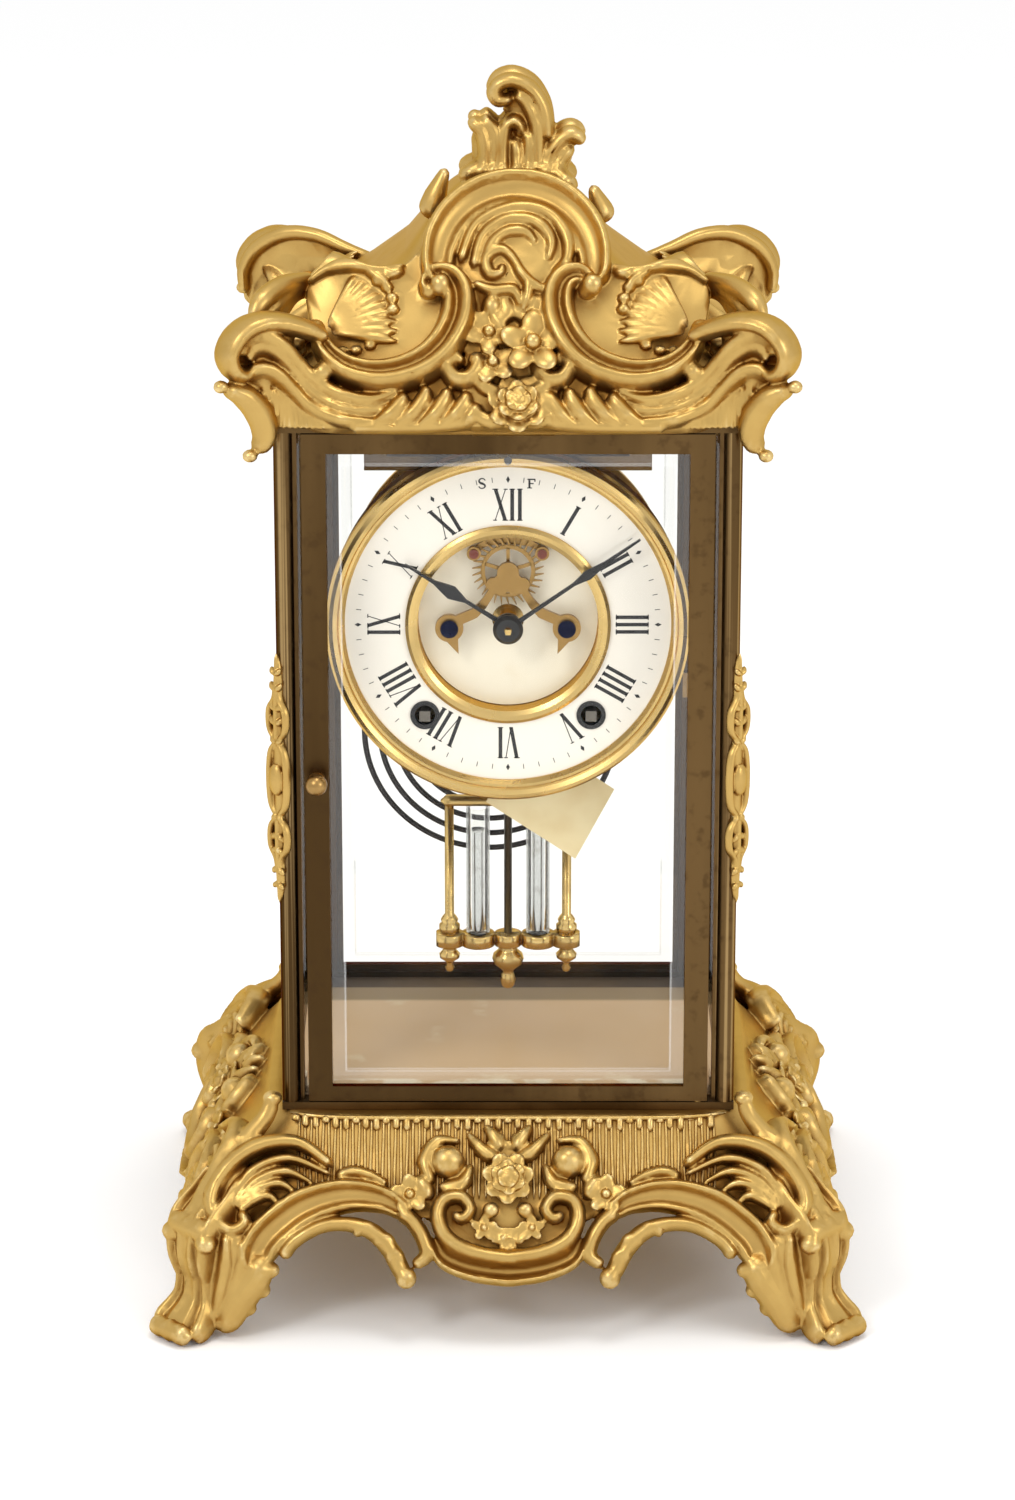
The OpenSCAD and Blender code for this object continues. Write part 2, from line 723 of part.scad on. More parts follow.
module casting_screws() {
    head_r = 2.6;
    head_t = 1.5;
    color(brass) {
        for (p = base_places) translate(p) {
            rod(head_r, deck_low - head_t, deck_low);
            rod(screw_r, deck_low - eps, ledge_top);
        }
        for (p = crown_places) translate(p) {
            rod(head_r, head_low - head_t, head_low);
            rod(screw_r, head_low - eps, case_top + 3);
        }
    }
}

// crown casting: heights count from the case top, and the ornament follows the width and depth of the case
crown_tall = crown_h / 98.3;
crown_wide = half_w / 71.5;
crown_deep = half_d / 56;
crown_roof = [[3, 75, 59.5], [8, 71.5, 56.5], [16, 66.5, 53], [25, 59, 48.5], [35, 44, 42.5], [45, 32, 31],
    [55, 24.5, 21.5], [63, 17.5, 13], [69, 8, 6]];
crown_levels = concat([[soffit, half_w + 2.5, half_d + 2.5], [case_top, half_w + 4, half_d + 4]],
    [for (l = crown_roof) [case_top + l[0] * crown_tall, l[1] * crown_wide, l[2] * crown_deep]]);
function crown_a(z) = lookup(z, [for (l = crown_levels) [l[0], l[1]]]);
function crown_b(z) = lookup(z, [for (l = crown_levels) [l[0], l[2]]]);
function crown_z(up) = case_top + up * crown_tall;
deck_high = case_top + 3.5;
hollow_top = 60;

module crown_bud(x, up, lift, r) {
    bud([x * crown_wide, -crown_b(crown_z(up)) - lift, crown_z(up)], r);
}

module crown_front_strokes() {
    out = [0, -0.8, 0.6];
    function on_crown(p, lift) = [for (q = p) let (z = crown_z(q[1])) [q[0] * crown_wide, -crown_b(z) - lift, z]];
    left_and_right() {
        stroke(on_crown([[-20, 39], [-28, 31.5], [-34, 22], [-43, 12], [-54, 16], [-57, 27], [-50, 32]], 1), out, 3, 5, 0.8);
        stroke(on_crown([[-73, 23], [-62, 17], [-50, 8], [-38, 4], [-24, 5]], 0), out, 3, 4.5, 0.7);
        stroke(on_crown([[-34, 47], [-40, 42], [-47, 39], [-45, 29], [-39, 26]], -1), out, 2.4, 5, 0.7);
        crown_bud(-6, 34, 2, 4);
    }
    crown_bud(3, 10, 3.5, 6);
    crown_bud(-4.5, 26.5, 3, 4.6);
    crown_bud(7, 25.5, 3, 4.6);
}

module shield() {
    shield_r = 27;
    lean = 58;
    up = 48;
    stand = 8.5;
    translate([2.5, -crown_b(crown_z(up)) - stand, crown_z(up)]) rotate([lean, 0, 0]) {
        scale([1, 1, 0.36]) sphere(r = shield_r, $fn = 16);
        stroke([for (a = [-40 : 26 : 220]) [shield_r * cos(a), shield_r * sin(a), 0]], [0, 0, 1], 2.6, 4.5, 1);
        stroke([[-22, -10, 5], [-10, 4, 5], [2, 8, 5], [8, 0, 5], [2, -6, 5], [-3, -1, 5]], [0, 0, 1], 3, 2.5, 0.5);
    }
}

module crown_side_strokes() {
    out = [0.8, 0, 0.6];
    function on_side(p, lift) = [for (q = p) let (z = crown_z(q[1])) [crown_a(z) + lift, q[0] * crown_deep, z]];
    for (s = [0, 1]) mirror([0, s, 0]) {
        stroke(on_side([[-8, 41], [-20, 33], [-27, 20], [-36, 11], [-45, 17], [-42, 27]], 1), out, 3, 5, 0.7);
        stroke(on_side([[-58, 21], [-46, 15], [-34, 6], [-18, 4]], 0), out, 3, 4.5, 0.7);
    }
    translate([crown_a(crown_z(11)) + 1, 0, crown_z(11)]) sphere(r = 6, $fn = 8);
    translate([crown_a(crown_z(29)) + 1, 0, crown_z(29)]) sphere(r = 5, $fn = 8);
}

module ear() {
    corner = [half_w, half_d, 0];
    dir = [cos(ear_dir), sin(ear_dir), 0];
    out = [-sin(ear_dir), cos(ear_dir), 0];
    function in_plane(p) = [for (q = p) corner + dir * q[0] * ear_reach / 17.5 + [0, 0, crown_z(q[1])]];
    stroke(in_plane([[-2, 29], [4, 24], [1, 17], [-7, 16.5], [-10, 25], [-5, 33], [4, 34], [12, 29], [15.5, 20],
        [14.5, 12], [9.5, 4], [5.5, -2], [4, -7]]), out, 3.4, 6.5, 0.45);
    stroke(in_plane([[14, 14], [6, 11], [-4, 7], [-14, 5]]), out, 4.5, 6.5, 0.9);
}

module finial() {
    out = [0, -1, 0];
    function upright(p) = [for (q = p) [q[0], 0, crown_z(q[1])]];
    stroke(upright([[5, 56], [10, 73], [9.5, 86], [4, 93], [-1, 95.5], [-5.5, 92], [-4.5, 87]]), out, 4.4, 7, 0.45);
    stroke(upright([[-7, 56], [-9, 68], [-7, 77], [-10, 84], [-12, 83]]), out, 3.6, 6, 0.5);
    stroke(upright([[9, 56], [14, 67], [17, 74], [20, 77]]), out, 3.6, 6, 0.6);
    stroke(upright([[-14, 50], [-19, 61], [-20, 68]]), out, 3, 6, 0.4);
    stroke(upright([[14, 46], [22.5, 54], [25.5, 61]]), out, 3, 6, 0.4);
}

module top_casting() {
    color(gilt) difference() {
        union() {
            loft(crown_levels, 6, ring_steps);
            front_and_back() crown_front_strokes();
            front_and_back() crown_side_strokes();
            shield();
            four_corners() ear();
            finial();
        }
        loft(concat([[deck_high, crown_a(deck_high) - wall, crown_b(deck_high) - wall]],
            [for (l = crown_levels) if (l[0] > deck_high && l[0] < crown_z(hollow_top))
                [l[0], l[1] - wall, l[2] - wall]]), 6, ring_steps);
        box([-half_w + 23.5, -half_d + 20, case_top - 1], [half_w - 23.5, half_d - 20, deck_high + 1]);
        box([-half_w - 0.3, -half_d - 0.3, base_h], [half_w + 0.3, half_d + 0.3, case_top]);
        for (s = [-1, 1]) translate([s * carrier_x, -carrier_z, case_top - 1])
            cylinder(r = carrier_head_r + 0.6, h = 6, $fn = 12);
        for (p = crown_places) translate(p) translate([0, 0, case_top - 1]) cylinder(r = screw_r + 0.15, h = 6, $fn = 12);
    }
}

// dial
module movement_carrier() {
    strap_low = 48.5;
    strap_high = 53;
    strap_rear = 24;
    strap_front = 32;
    foot_in = 37.5;
    foot_out = 44.5;
    color(dark_steel) at_dial() difference() {
        union() {
            rod(ring_r, plate_front, ring_front);
            box([-foot_out, strap_low, strap_rear], [foot_out, strap_high, strap_front]);
            left_and_right() box([foot_in, strap_low, strap_rear], [foot_out, head_low - dial_z, strap_front]);
            box([-5, strap_low, strap_rear], [5, regulator_y + 4, ring_front]);
        }
        rod(ring_in, plate_front + 2, ring_front - 2);
        rod(dial_r - 0.3, ring_front - 3, ring_front + 1);
        rod(plate_r - 2.5, plate_front - 1, plate_front + 3);
        translate([0, regulator_y, 0]) rod(regulator_r + run_fit, plate_front - 1, ring_front + 1);
        for (a = screw_angles) rotate(a) translate([screw_ring, 0, 0]) rod(screw_r + fixed_fit, plate_front - 1, plate_front + 5);
        for (s = [-1, 1]) translate([s * carrier_x, 0, carrier_z]) rotate([-90, 0, 0])
            rod(screw_r + fixed_fit, strap_high + 0.8, head_low - dial_z + 1);
    }
}

module carrier_screws() {
    head_r = carrier_head_r;
    head_t = 1.2;
    color(steel) {
        for (s = [-1, 1]) translate([s * carrier_x, -carrier_z, 0]) {
            rod(head_r, case_top, case_top + head_t);
            rod(screw_r, dial_z + 54, case_top + eps);
        }
        at_dial() for (a = screw_angles) rotate(a) translate([screw_ring, 0, 0]) {
            rod(head_r - 0.4, plate_rear - head_t, plate_rear);
            rod(screw_r, plate_rear - eps, plate_front + 3);
        }
    }
}

module bezel() {
    lip = dial_r;
    back = ring_front;
    face = dial_front;
    top = dial_front + bezel_rise;
    color(brass) at_dial() difference() {
        rotate_extrude($fn = 96) polygon([[lip, face], [lip, face + 0.7], [lip + 1.1, face + 2], [lip + 1.9, face + 2.2],
            [lip + 2.4, top - 0.7], [lip + 3.7, top], [lip + 4.9, top - 0.5], [bezel_r, top - 1.9], [bezel_r, back],
            [dial_r + dial_cover + 0.3, back], [dial_r + dial_cover + 0.3, face]]);
        translate([0, regulator_y, 0]) rod(regulator_r + run_fit, back - 1, top + 1);
    }
}

module dial_ring() {
    color(porcelain) at_dial() difference() {
        tube(dial_r + dial_cover, centre_r + 1.4, ring_front, dial_front);
        for (s = [-1, 1]) translate([s * wind_x, -wind_y, 0]) rod(grommet_r - 0.4, ring_front - 1, dial_front + 1);
    }
}

module sight_ring() {
    inner = centre_r + 0.2;
    outer = centre_r + 1.2;
    floor_z = disc_front - disc_t;
    notch = stem_half + 1.1;
    color(brass) at_dial() difference() {
        rotate_extrude($fn = 96) polygon([[centre_r - 1.5, floor_z - 1], [outer, floor_z - 1],
            [outer, dial_front], [sight_r, dial_front], [sight_r, dial_front + 0.9], [sight_r - 1, dial_front + 1.6],
            [sight_r - 2.4, dial_front + 1.2], [inner, dial_front + 0.4], [inner, floor_z], [centre_r - 1.5, floor_z]]);
        box([-notch, centre_r - 4, floor_z - 2], [notch, sight_r, anchor_front + 1]);
    }
}

module dial_centre() {
    color(porcelain) at_dial() difference() {
        rod(centre_r, disc_front - disc_t, disc_front);
        rod(5, disc_front - 3, disc_front + 1);
        translate(escape_at) rod(1.6, disc_front - 3, disc_front + 1);
        for (s = [-1, 1]) translate([s * post_at[0], post_at[1], 0]) rod(post_r + 0.2, disc_front - 3, disc_front + 1);
    }
}

module winding_grommets() {
    hole = 3.2;
    color(black) at_dial() for (s = [-1, 1]) translate([s * wind_x, -wind_y, 0]) {
        tube(grommet_r - 0.5, hole, ring_front, dial_front + 0.5);
        tube(grommet_r, hole, dial_front, dial_front + 0.5);
    }
}

module escapement_bridge() {
    lobe = [4.5, escape_y - 3.8];
    eye_r = 4.4;
    bridge_t = dial_front - bridge_rear;
    color(brass) at_dial() translate([0, 0, bridge_rear]) difference() {
        union() {
            translate(escape_at) rod(3.4, 0, bridge_t);
            linear_extrude(bridge_t) polygon([[-6, lobe[1]], [-2, escape_y + 1], [2, escape_y + 1], [6, lobe[1]],
                [2.5, lobe[1] - 3.5], [0, lobe[1] - 2.2], [-2.5, lobe[1] - 3.5]]);
            left_and_right() {
                translate(lobe) rod(2.3, 0, bridge_t);
                linear_extrude(bridge_t) polygon([[3, lobe[1] - 1], [5.6, lobe[1] - 1], [8, 8.2], [11, 5], [16.5, 2.6], [18, -2],
                    [14, 0.2], [9.6, 2.2], [6.8, 5.4]]);
                translate(post_at) rod(eye_r, 0, bridge_t);
                linear_extrude(bridge_t) polygon([[15.6, -4], [19.6, -5], [15.4, -9.6]]);
            }
        }
        translate(escape_at) rod(0.5 + run_fit, -1, 3);
        for (s = [-1, 1]) translate([s * post_at[0], post_at[1], 0]) rod(1.2 + fixed_fit, -1, 3);
    }
}

module bridge_screws() {
    color(blue_steel) at_dial() for (s = [-1, 1]) translate([s * post_at[0], post_at[1], 0]) difference() {
        union() {
            rod(2.8, dial_front, dial_front + 1.2);
            rod(1.2, bridge_rear - 4, dial_front + eps);
        }
        box([-4, -0.3, dial_front + 0.7], [4, 0.3, dial_front + 2]);
    }
}

// movement plates
module plate_bores(z0, z1, front) {
    rod(front ? 1.2 + run_fit : 0.8 + run_fit, z0, z1);
    for (p = [second_at, strike_second_at]) translate(p) rod(0.8 + run_fit, z0, z1);
    for (p = [third_at, fly_at]) translate(p) rod(0.6 + run_fit, z0, z1);
    translate(escape_at) rod(front ? 1 : 0.5 + run_fit, z0, z1);
    translate(pallet_at) rod(1 + run_fit, z0, z1);
    translate(hammer_at) rod(1.2 + run_fit, z0, z1);
    for (s = [-1, 1]) translate([s * wind_x, -wind_y, 0]) rod(front ? 2.6 + run_fit : 2 + run_fit, z0, z1);
}

module front_plate() {
    color(brass) at_dial() difference() {
        union() {
            rod(plate_r, plate_rear, plate_front);
            for (s = [-1, 1]) translate([s * post_at[0], post_at[1], 0]) rod(post_r, plate_front - eps, bridge_rear);
            translate(minute_wheel_at) rod(1, plate_front - eps, plate_front + 6);
        }
        plate_bores(plate_rear - 1, plate_front + 1, true);
        for (p = pillar_places) translate(p) rod(tenon_r + fixed_fit, plate_rear - 1, plate_front + 1);
        for (a = screw_angles) rotate(a) translate([screw_ring, 0, 0]) rod(screw_r + fixed_fit, plate_rear - 1, plate_front + 1);
        for (s = [-1, 1]) translate([s * post_at[0], post_at[1], 0]) rod(1.2 + fixed_fit, bridge_rear - 4.5, bridge_rear + 1);
    }
}

gong_end = gong_at + polar(gong_in, gong_start);
gong_tangent = [-sin(gong_start), cos(gong_start)];
gong_block = gong_end - gong_tangent * gong_lead / 2;

module back_plate() {
    stud_r = 2.2;
    block = [6, gong_lead, 6];
    color(brass) at_dial() difference() {
        union() {
            rod(plate_r, back_rear, back_front);
            for (p = pillar_places) translate(p) {
                rod(pillar_r, back_front - eps, plate_rear);
                rod(tenon_r, plate_rear - eps, plate_front);
            }
            translate(gong_block) rod(stud_r, -gong_back, back_rear + eps);
            translate([gong_block[0], gong_block[1], -gong_back]) rotate(gong_start) cube(block, center = true);
        }
        plate_bores(back_rear - 1, back_front + 1, false);
        translate([gong_block[0], gong_block[1], -gong_back]) rotate([-90, 0, gong_start]) rod(gong_wire + run_fit, -5, 5);
    }
}

// going train
great_z = plate_rear - 3.2;
centre_turn = 0;
second_turn = mesh_turn(angle_of(second_at), centre_turn, centre_leaves, second_n);
great_turn = mesh_turn(angle_of(great_at - second_at), 0, second_leaves, great_n);
third_turn = mesh_turn(angle_of(third_at), centre_turn, centre_n, fine_leaves);
escape_turn = mesh_turn(angle_of(escape_at - third_at), 0, third_n, fine_leaves);
minute_turn = mesh_turn(angle_of(minute_wheel_at), 0, cannon_n, minute_n);
hour_turn = mesh_turn(90, 0, minute_leaves, hour_n);
strike_great_turn = mesh_turn(strike_dir + 180, 0, second_leaves, great_n);
fly_turn = mesh_turn(fly_dir, 0, second_n, fly_leaves);

module great_wheel(at, turn) {
    translate(at) difference() {
        wheel(great_n, great_m, great_z, great_z + 2, turn);
        rod(3 + run_fit, great_z - 1, great_z + 3);
        windows(5, 11, 4.6, great_z, great_z + 2);
    }
}

function spring_path(side) = [for (i = [0 : 18 * spring_turns])
    polar(mix(3.5, spring_r - spring_t / 2, i / (18 * spring_turns)) + side * spring_t / 2, 20 * i)];

// the spring lies between the strike pins and the great wheel
pin_top = 5;
spring_low = pinion_rear + pin_top + 0.5;

module mainspring(at) {
    inner = spring_path(-1);
    outer = spring_path(1);
    loop = concat(outer, [for (i = [len(inner) - 1 : -1 : 0]) inner[i]]);
    translate([at[0], at[1], spring_low]) linear_extrude(great_z - 1 - spring_low) polygon(loop);
}

module winding_arbor(at) {
    ratchet_n = 20;
    ratchet_z = back_front + 2.4;
    square_w = 3.4;
    translate(at) {
        rod(3, back_front + 0.2, plate_rear - 0.2);
        rod(2, back_rear, back_front + 0.2 + eps);
        rod(2.6, plate_rear - 0.2 - eps, plate_front + 0.2);
        box([-square_w / 2, -square_w / 2, plate_front], [square_w / 2, square_w / 2, dial_front + 1.6]);
        translate([0, 0, ratchet_z]) linear_extrude(1.6)
            polygon([for (i = [0 : ratchet_n - 1]) each [polar(5, 360 * i / ratchet_n), polar(6.2, 360 * (i + 0.9) / ratchet_n)]]);
    }
}

module arbor(r, pivot, front_pivot) {
    rod(r, back_front + 0.2, plate_rear - 0.2);
    rod(pivot, back_rear, back_front + 0.2 + eps);
    rod(front_pivot, plate_rear - 0.2 - eps, plate_front);
}

module time_great_wheel() {
    color(brass) at_dial() great_wheel(great_at, great_turn);
}

module strike_great_wheel() {
    color(brass) at_dial() great_wheel(strike_great_at, strike_great_turn);
}

module time_mainspring() {
    color(blue_steel) at_dial() mainspring(great_at);
}

module strike_mainspring() {
    color(blue_steel) at_dial() mainspring(strike_great_at);
}

module time_winding_arbor() {
    color(silver) at_dial() winding_arbor(great_at);
}

module strike_winding_arbor() {
    color(silver) at_dial() winding_arbor(strike_great_at);
}

module time_second_wheel() {
    color(brass) at_dial() translate(second_at) {
        difference() {
            wheel(second_n, second_m, pinion_rear, pinion_rear + 1.4, second_turn);
            windows(5, 8.6, 3.6, pinion_rear, pinion_rear + 1.4);
        }
        arbor(1.2, 0.8, 0.8);
        pinion(second_leaves, great_m, great_z - 0.6, great_z + 2.6, 0);
    }
}

module strike_pin_wheel() {
    color(brass) at_dial() translate(strike_second_at) {
        difference() {
            wheel(second_n, second_m, pinion_rear, pinion_rear + 1.4, 0);
            windows(4, 6.4, 3, pinion_rear, pinion_rear + 1.4);
        }
        for (i = [0 : 7]) rotate(45 * i) translate([pin_circle, 0, 0]) rod(0.6, pinion_rear + 1, pinion_rear + pin_top);
        arbor(1.2, 0.8, 0.8);
        pinion(second_leaves, great_m, great_z - 0.6, great_z + 2.6, 0);
    }
}

module strike_fly() {
    vane_r = 9;
    vane_z = pinion_rear + 6.5;
    color(brass) at_dial() translate(fly_at) {
        arbor(0.9, 0.6, 0.6);
        pinion(fly_leaves, second_m, pinion_rear - 0.8, pinion_rear + 2.2, fly_turn);
        box([-vane_r, -0.4, vane_z], [vane_r, 0.4, vane_z + 12]);
        rod(1.8, vane_z - 0.6, vane_z + 0.6);
    }
}

module centre_wheel() {
    wheel_z = pinion_rear + 7.6;
    square_w = 1.7;
    color(brass) at_dial() {
        difference() {
            wheel(centre_n, centre_m, wheel_z, wheel_z + 1.4, centre_turn);
            windows(5, 9, 3.8, wheel_z, wheel_z + 1.4);
        }
        pinion(centre_leaves, second_m, pinion_rear - 0.3, pinion_rear + 1.9, centre_turn);
        rod(0.8, back_rear, back_front + 0.2 + eps);
        rod(1.2, back_front + 0.2, dial_front + 6.6);
        rod(2, wheel_z - 0.8, wheel_z + 2.2);
        box([-square_w / 2, -square_w / 2, dial_front + 6], [square_w / 2, square_w / 2, dial_front + 8.6]);
    }
}

module third_wheel() {
    leaf_z = pinion_rear + 7;
    wheel_z = pinion_rear + 13.8;
    color(brass) at_dial() translate(third_at) {
        arbor(0.85, 0.6, 0.6);
        pinion(fine_leaves, centre_m, leaf_z, leaf_z + 2.6, third_turn);
        difference() {
            wheel(third_n, third_m, wheel_z, wheel_z + 1.2, 0);
            windows(5, 7.8, 3.3, wheel_z, wheel_z + 1.2);
        }
    }
}

module escape_wheel() {
    leaf_z = pinion_rear + 13;
    root_r = escape_r - 2.8;
    color(brass) at_dial() translate(escape_at) {
        rod(0.5, back_rear, back_front + 0.2 + eps);
        rod(0.6, back_front + 0.2, bridge_rear - 0.2);
        rod(0.5, bridge_rear - 0.2 - eps, dial_front);
        pinion(fine_leaves, third_m, leaf_z, leaf_z + 2.8, escape_turn);
        translate([0, 0, escape_z]) linear_extrude(0.8) difference() {
            polygon([for (i = [0 : escape_n - 1]) each [polar(root_r, 360 * i / escape_n),
                polar(root_r, 360 * (i + 0.3) / escape_n), polar(escape_r, 360 * (i + 0.62) / escape_n),
                polar(escape_r, 360 * (i + 0.68) / escape_n), polar(root_r, 360 * (i + 0.62) / escape_n)]]);
            for (i = [0 : 5]) rotate(60 * i) translate([4.8, 0]) circle(r = 1.9, $fn = 32);
        }
        rod(1.6, escape_z - 0.4, escape_z + 1.1);
    }
}

pallet_lean = 28.7;
pallet_gap = 0.85;
jewel_t = 0.8;
jewel_w = 2.2;
anchor_rear = disc_front + 0.5;
anchor_front = anchor_rear + 1.4;
stem_half = 1.3;

module pallet_jewels() {
    color(ruby) at_dial() left_and_right() translate(escape_at) rotate(pallet_lean)
        box([escape_r + pallet_gap, -jewel_w / 2, anchor_front], [escape_r + pallet_gap + jewel_t, jewel_w / 2, escape_z + 1.3]);
}

module anchor() {
    seat = escape_r + pallet_gap;
    crutch_rear = back_rear - 3;
    crutch_front = back_rear - 1.6;
    fork_y = 2;
    fork_half = 2.8;
    color(steel) at_dial() {
        translate(pallet_at) rod(1, crutch_rear, anchor_front + 1);
        translate(pallet_at) rod(2.2, anchor_rear, anchor_front + 1);
        translate([0, 0, anchor_rear]) linear_extrude(anchor_front - anchor_rear) polygon([[-stem_half, pallet_y],
            [-stem_half, escape_y + 10.6], [-7, escape_y + 9.6], [-11.4, escape_y + 6.8], [-10.4, escape_y + 5.6],
            [-6.4, escape_y + 7.6], [0, escape_y + 8.4], [6.4, escape_y + 7.6], [10.4, escape_y + 5.6], [11.4, escape_y + 6.8],
            [7, escape_y + 9.6], [stem_half, escape_y + 10.6], [stem_half, pallet_y]]);
        left_and_right() translate(escape_at) rotate(pallet_lean)
            box([seat - 0.4, -jewel_w / 2, anchor_rear], [seat + jewel_t + 0.3, jewel_w / 2, anchor_front]);
        translate(pallet_at) rod(2.2, crutch_rear, crutch_front);
        box([-1, fork_y + 3, crutch_rear], [1, pallet_y, crutch_front]);
        box([-fork_half, fork_y + 2, crutch_rear], [fork_half, fork_y + 4, crutch_front]);
        left_and_right() box([1.7, fork_y, -pendulum_back - 2], [fork_half, fork_y + 4, crutch_front]);
    }
}

// motion work and hands
module cannon_pinion() {
    color(brass) at_dial() difference() {
        union() {
            pinion(cannon_n, cannon_m, plate_front + 1, plate_front + 3, 0);
            rod(1.85, plate_front + 0.3, dial_front + 5);
        }
        rod(1.2 + run_fit, plate_front - 1, dial_front + 6);
    }
}

module minute_wheel() {
    color(brass) at_dial() translate(minute_wheel_at) difference() {
        union() {
            wheel(minute_n, cannon_m, plate_front + 1.4, plate_front + 2.6, minute_turn);
            pinion(minute_leaves, hour_m, plate_front + 2.6 - eps, plate_front + 5.6, 0);
            rod(1.8, plate_front, plate_front + 1.4 + eps);
        }
        rod(1 + run_fit, plate_front - 1, plate_front + 7);
    }
}

module hour_wheel() {
    color(brass) at_dial() difference() {
        union() {
            wheel(hour_n, hour_m, plate_front + 4.3, plate_front + 5.3, hour_turn);
            rod(2.6, plate_front + 3.2, dial_front + 2.8);
        }
        rod(1.85 + run_fit, plate_front, dial_front + 4);
    }
}

// pear-shaped hand along +y: hub, stem, swelling at bulge and fine tip
module hand(length, bulge, half, hole) {
    difference() {
        union() {
            rod(hub_r, 0, hand_t);
            linear_extrude(hand_t) polygon([[-1.5, 0], [-1.1, hub_r + 2], [-0.8, bulge - 7], [-half * 0.6, bulge - 4.2],
                [-half, bulge - 0.8], [-half * 0.75, bulge + 2], [-0.7, bulge + 6], [-0.35, length], [0.35, length],
                [0.7, bulge + 6], [half * 0.75, bulge + 2], [half, bulge - 0.8], [half * 0.6, bulge - 4.2], [0.8, bulge - 7],
                [1.1, hub_r + 2], [1.5, 0]]);
        }
        rod(hole, -1, hand_t + 1);
    }
}

module hour_hand() {
    color(black) at_dial() rotate(-hour_at) translate([0, 0, dial_front + 1.8])
        hand(hour_len, 22, 3.6, 2.6 + fixed_fit);
}

module minute_hand() {
    color(black) at_dial() rotate(-minute_at) translate([0, 0, dial_front + 4])
        hand(minute_len, 32, 3, 1.85 + fixed_fit);
}

module hand_nut() {
    color(black) at_dial() rotate_extrude($fn = 64) polygon([[1.2 + fixed_fit, dial_front + 5], [4.7, dial_front + 5],
        [4.7, dial_front + 5.8], [3.6, dial_front + 7], [1.2 + fixed_fit, dial_front + 7.2]]);
}

// striking and suspension
module hammer() {
    tail_z = pinion_rear + 3;
    tail = strike_second_at - hammer_at;
    tail_len = norm(tail) - pin_circle - 2.4;
    color(steel) at_dial() translate(hammer_at) {
        rod(1.2, -gong_back - 1.4, plate_front);
        rod(2.2, tail_z - 0.4, tail_z + 1.6);
        rotate(angle_of(tail)) box([0, -0.9, tail_z], [tail_len, 0.9, tail_z + 1.2]);
        rod(2.2, -gong_back - 1.4, -gong_back + 1.4);
        rotate(angle_of(head_at - hammer_at)) {
            box([0, -0.9, -gong_back - 0.7], [hammer_arm, 0.9, -gong_back + 0.7]);
            translate([hammer_arm, 0, -gong_back]) rotate([90, 0, 0]) cylinder(r = hammer_head_r, h = hammer_head_l, center = true, $fn = 48);
        }
    }
}

module gong() {
    steps = 24 * gong_turns;
    sides = 6;
    pitch = (gong_out - gong_in) / gong_turns;
    echo(gong_least_gap = pitch - 2 * gong_wire);
    centres = concat(
        [for (k = [2, 1]) gong_end - gong_tangent * gong_lead * k / 2],
        [for (i = [0 : steps]) gong_at + polar(mix(gong_in, gong_out, i / steps), gong_start + 15 * i)]);
    n = len(centres);
    points = [for (i = [0 : n - 1])
        let (t = unit(centres[min(i + 1, n - 1)] - centres[max(i - 1, 0)]), s = [-t[1], t[0]])
        for (j = [0 : sides - 1])
            [centres[i][0] + s[0] * gong_wire * cos(60 * j), centres[i][1] + s[1] * gong_wire * cos(60 * j),
                gong_wire * sin(60 * j) - gong_back]];
    faces = concat(
        [[for (j = [0 : sides - 1]) j]],
        [for (i = [0 : n - 2]) for (j = [0 : sides - 1])
            [i * sides + j, (i + 1) * sides + j, (i + 1) * sides + (j + 1) % sides, i * sides + (j + 1) % sides]],
        [[for (j = [sides - 1 : -1 : 0]) (n - 1) * sides + j]]);
    color(dark_steel) at_dial() polyhedron(points, faces, convexity = 12);
}

module suspension_cock() {
    cheek_t = 1.6;
    color(brass) at_dial() difference() {
        union() {
            box([-5, pallet_y + 4, back_rear - 11.8], [5, regulator_y + 4, back_rear]);
            for (z = [-pendulum_back + 1, -pendulum_back - 1 - cheek_t])
                box([-4, pallet_y - 4, z], [4, pallet_y + 4 + eps, z + cheek_t]);
        }
        translate([0, regulator_y, 0]) rod(regulator_r + run_fit, back_rear - 20, back_rear + 1);
        translate(pallet_at) rod(1, -pendulum_back - 4, -pendulum_back + 4);
    }
}

module suspension_spring() {
    pin_r = 0.95;
    color(steel) at_dial() {
        translate(pallet_at) rod(pin_r, -pendulum_back - 2.6, -pendulum_back + 2.6);
        box([-0.3, 10, -pendulum_back - 0.8], [0.3, pallet_y, -pendulum_back + 0.8]);
    }
}

module regulator_arbor() {
    color(black) at_dial() translate([0, regulator_y, 0]) {
        rod(regulator_r, back_rear - 13, dial_front + 4.6);
        rod(2.4, back_rear - 13, back_rear - 11.8);
    }
}

rod_r = 1;
bar_low = bob_z + bob_t + vial_h;

module pendulum_rod() {
    head_low_z = dial_z + 8;
    color(steel) translate([0, pendulum_back, 0]) difference() {
        union() {
            rod(rod_r, bob_z, head_low_z + 1);
            box([-3, -2, head_low_z], [3, 2, head_low_z + 6]);
        }
        box([-0.3 - fixed_fit, -0.8 - fixed_fit, dial_z + 10], [0.3 + fixed_fit, 0.8 + fixed_fit, head_low_z + 7]);
    }
}

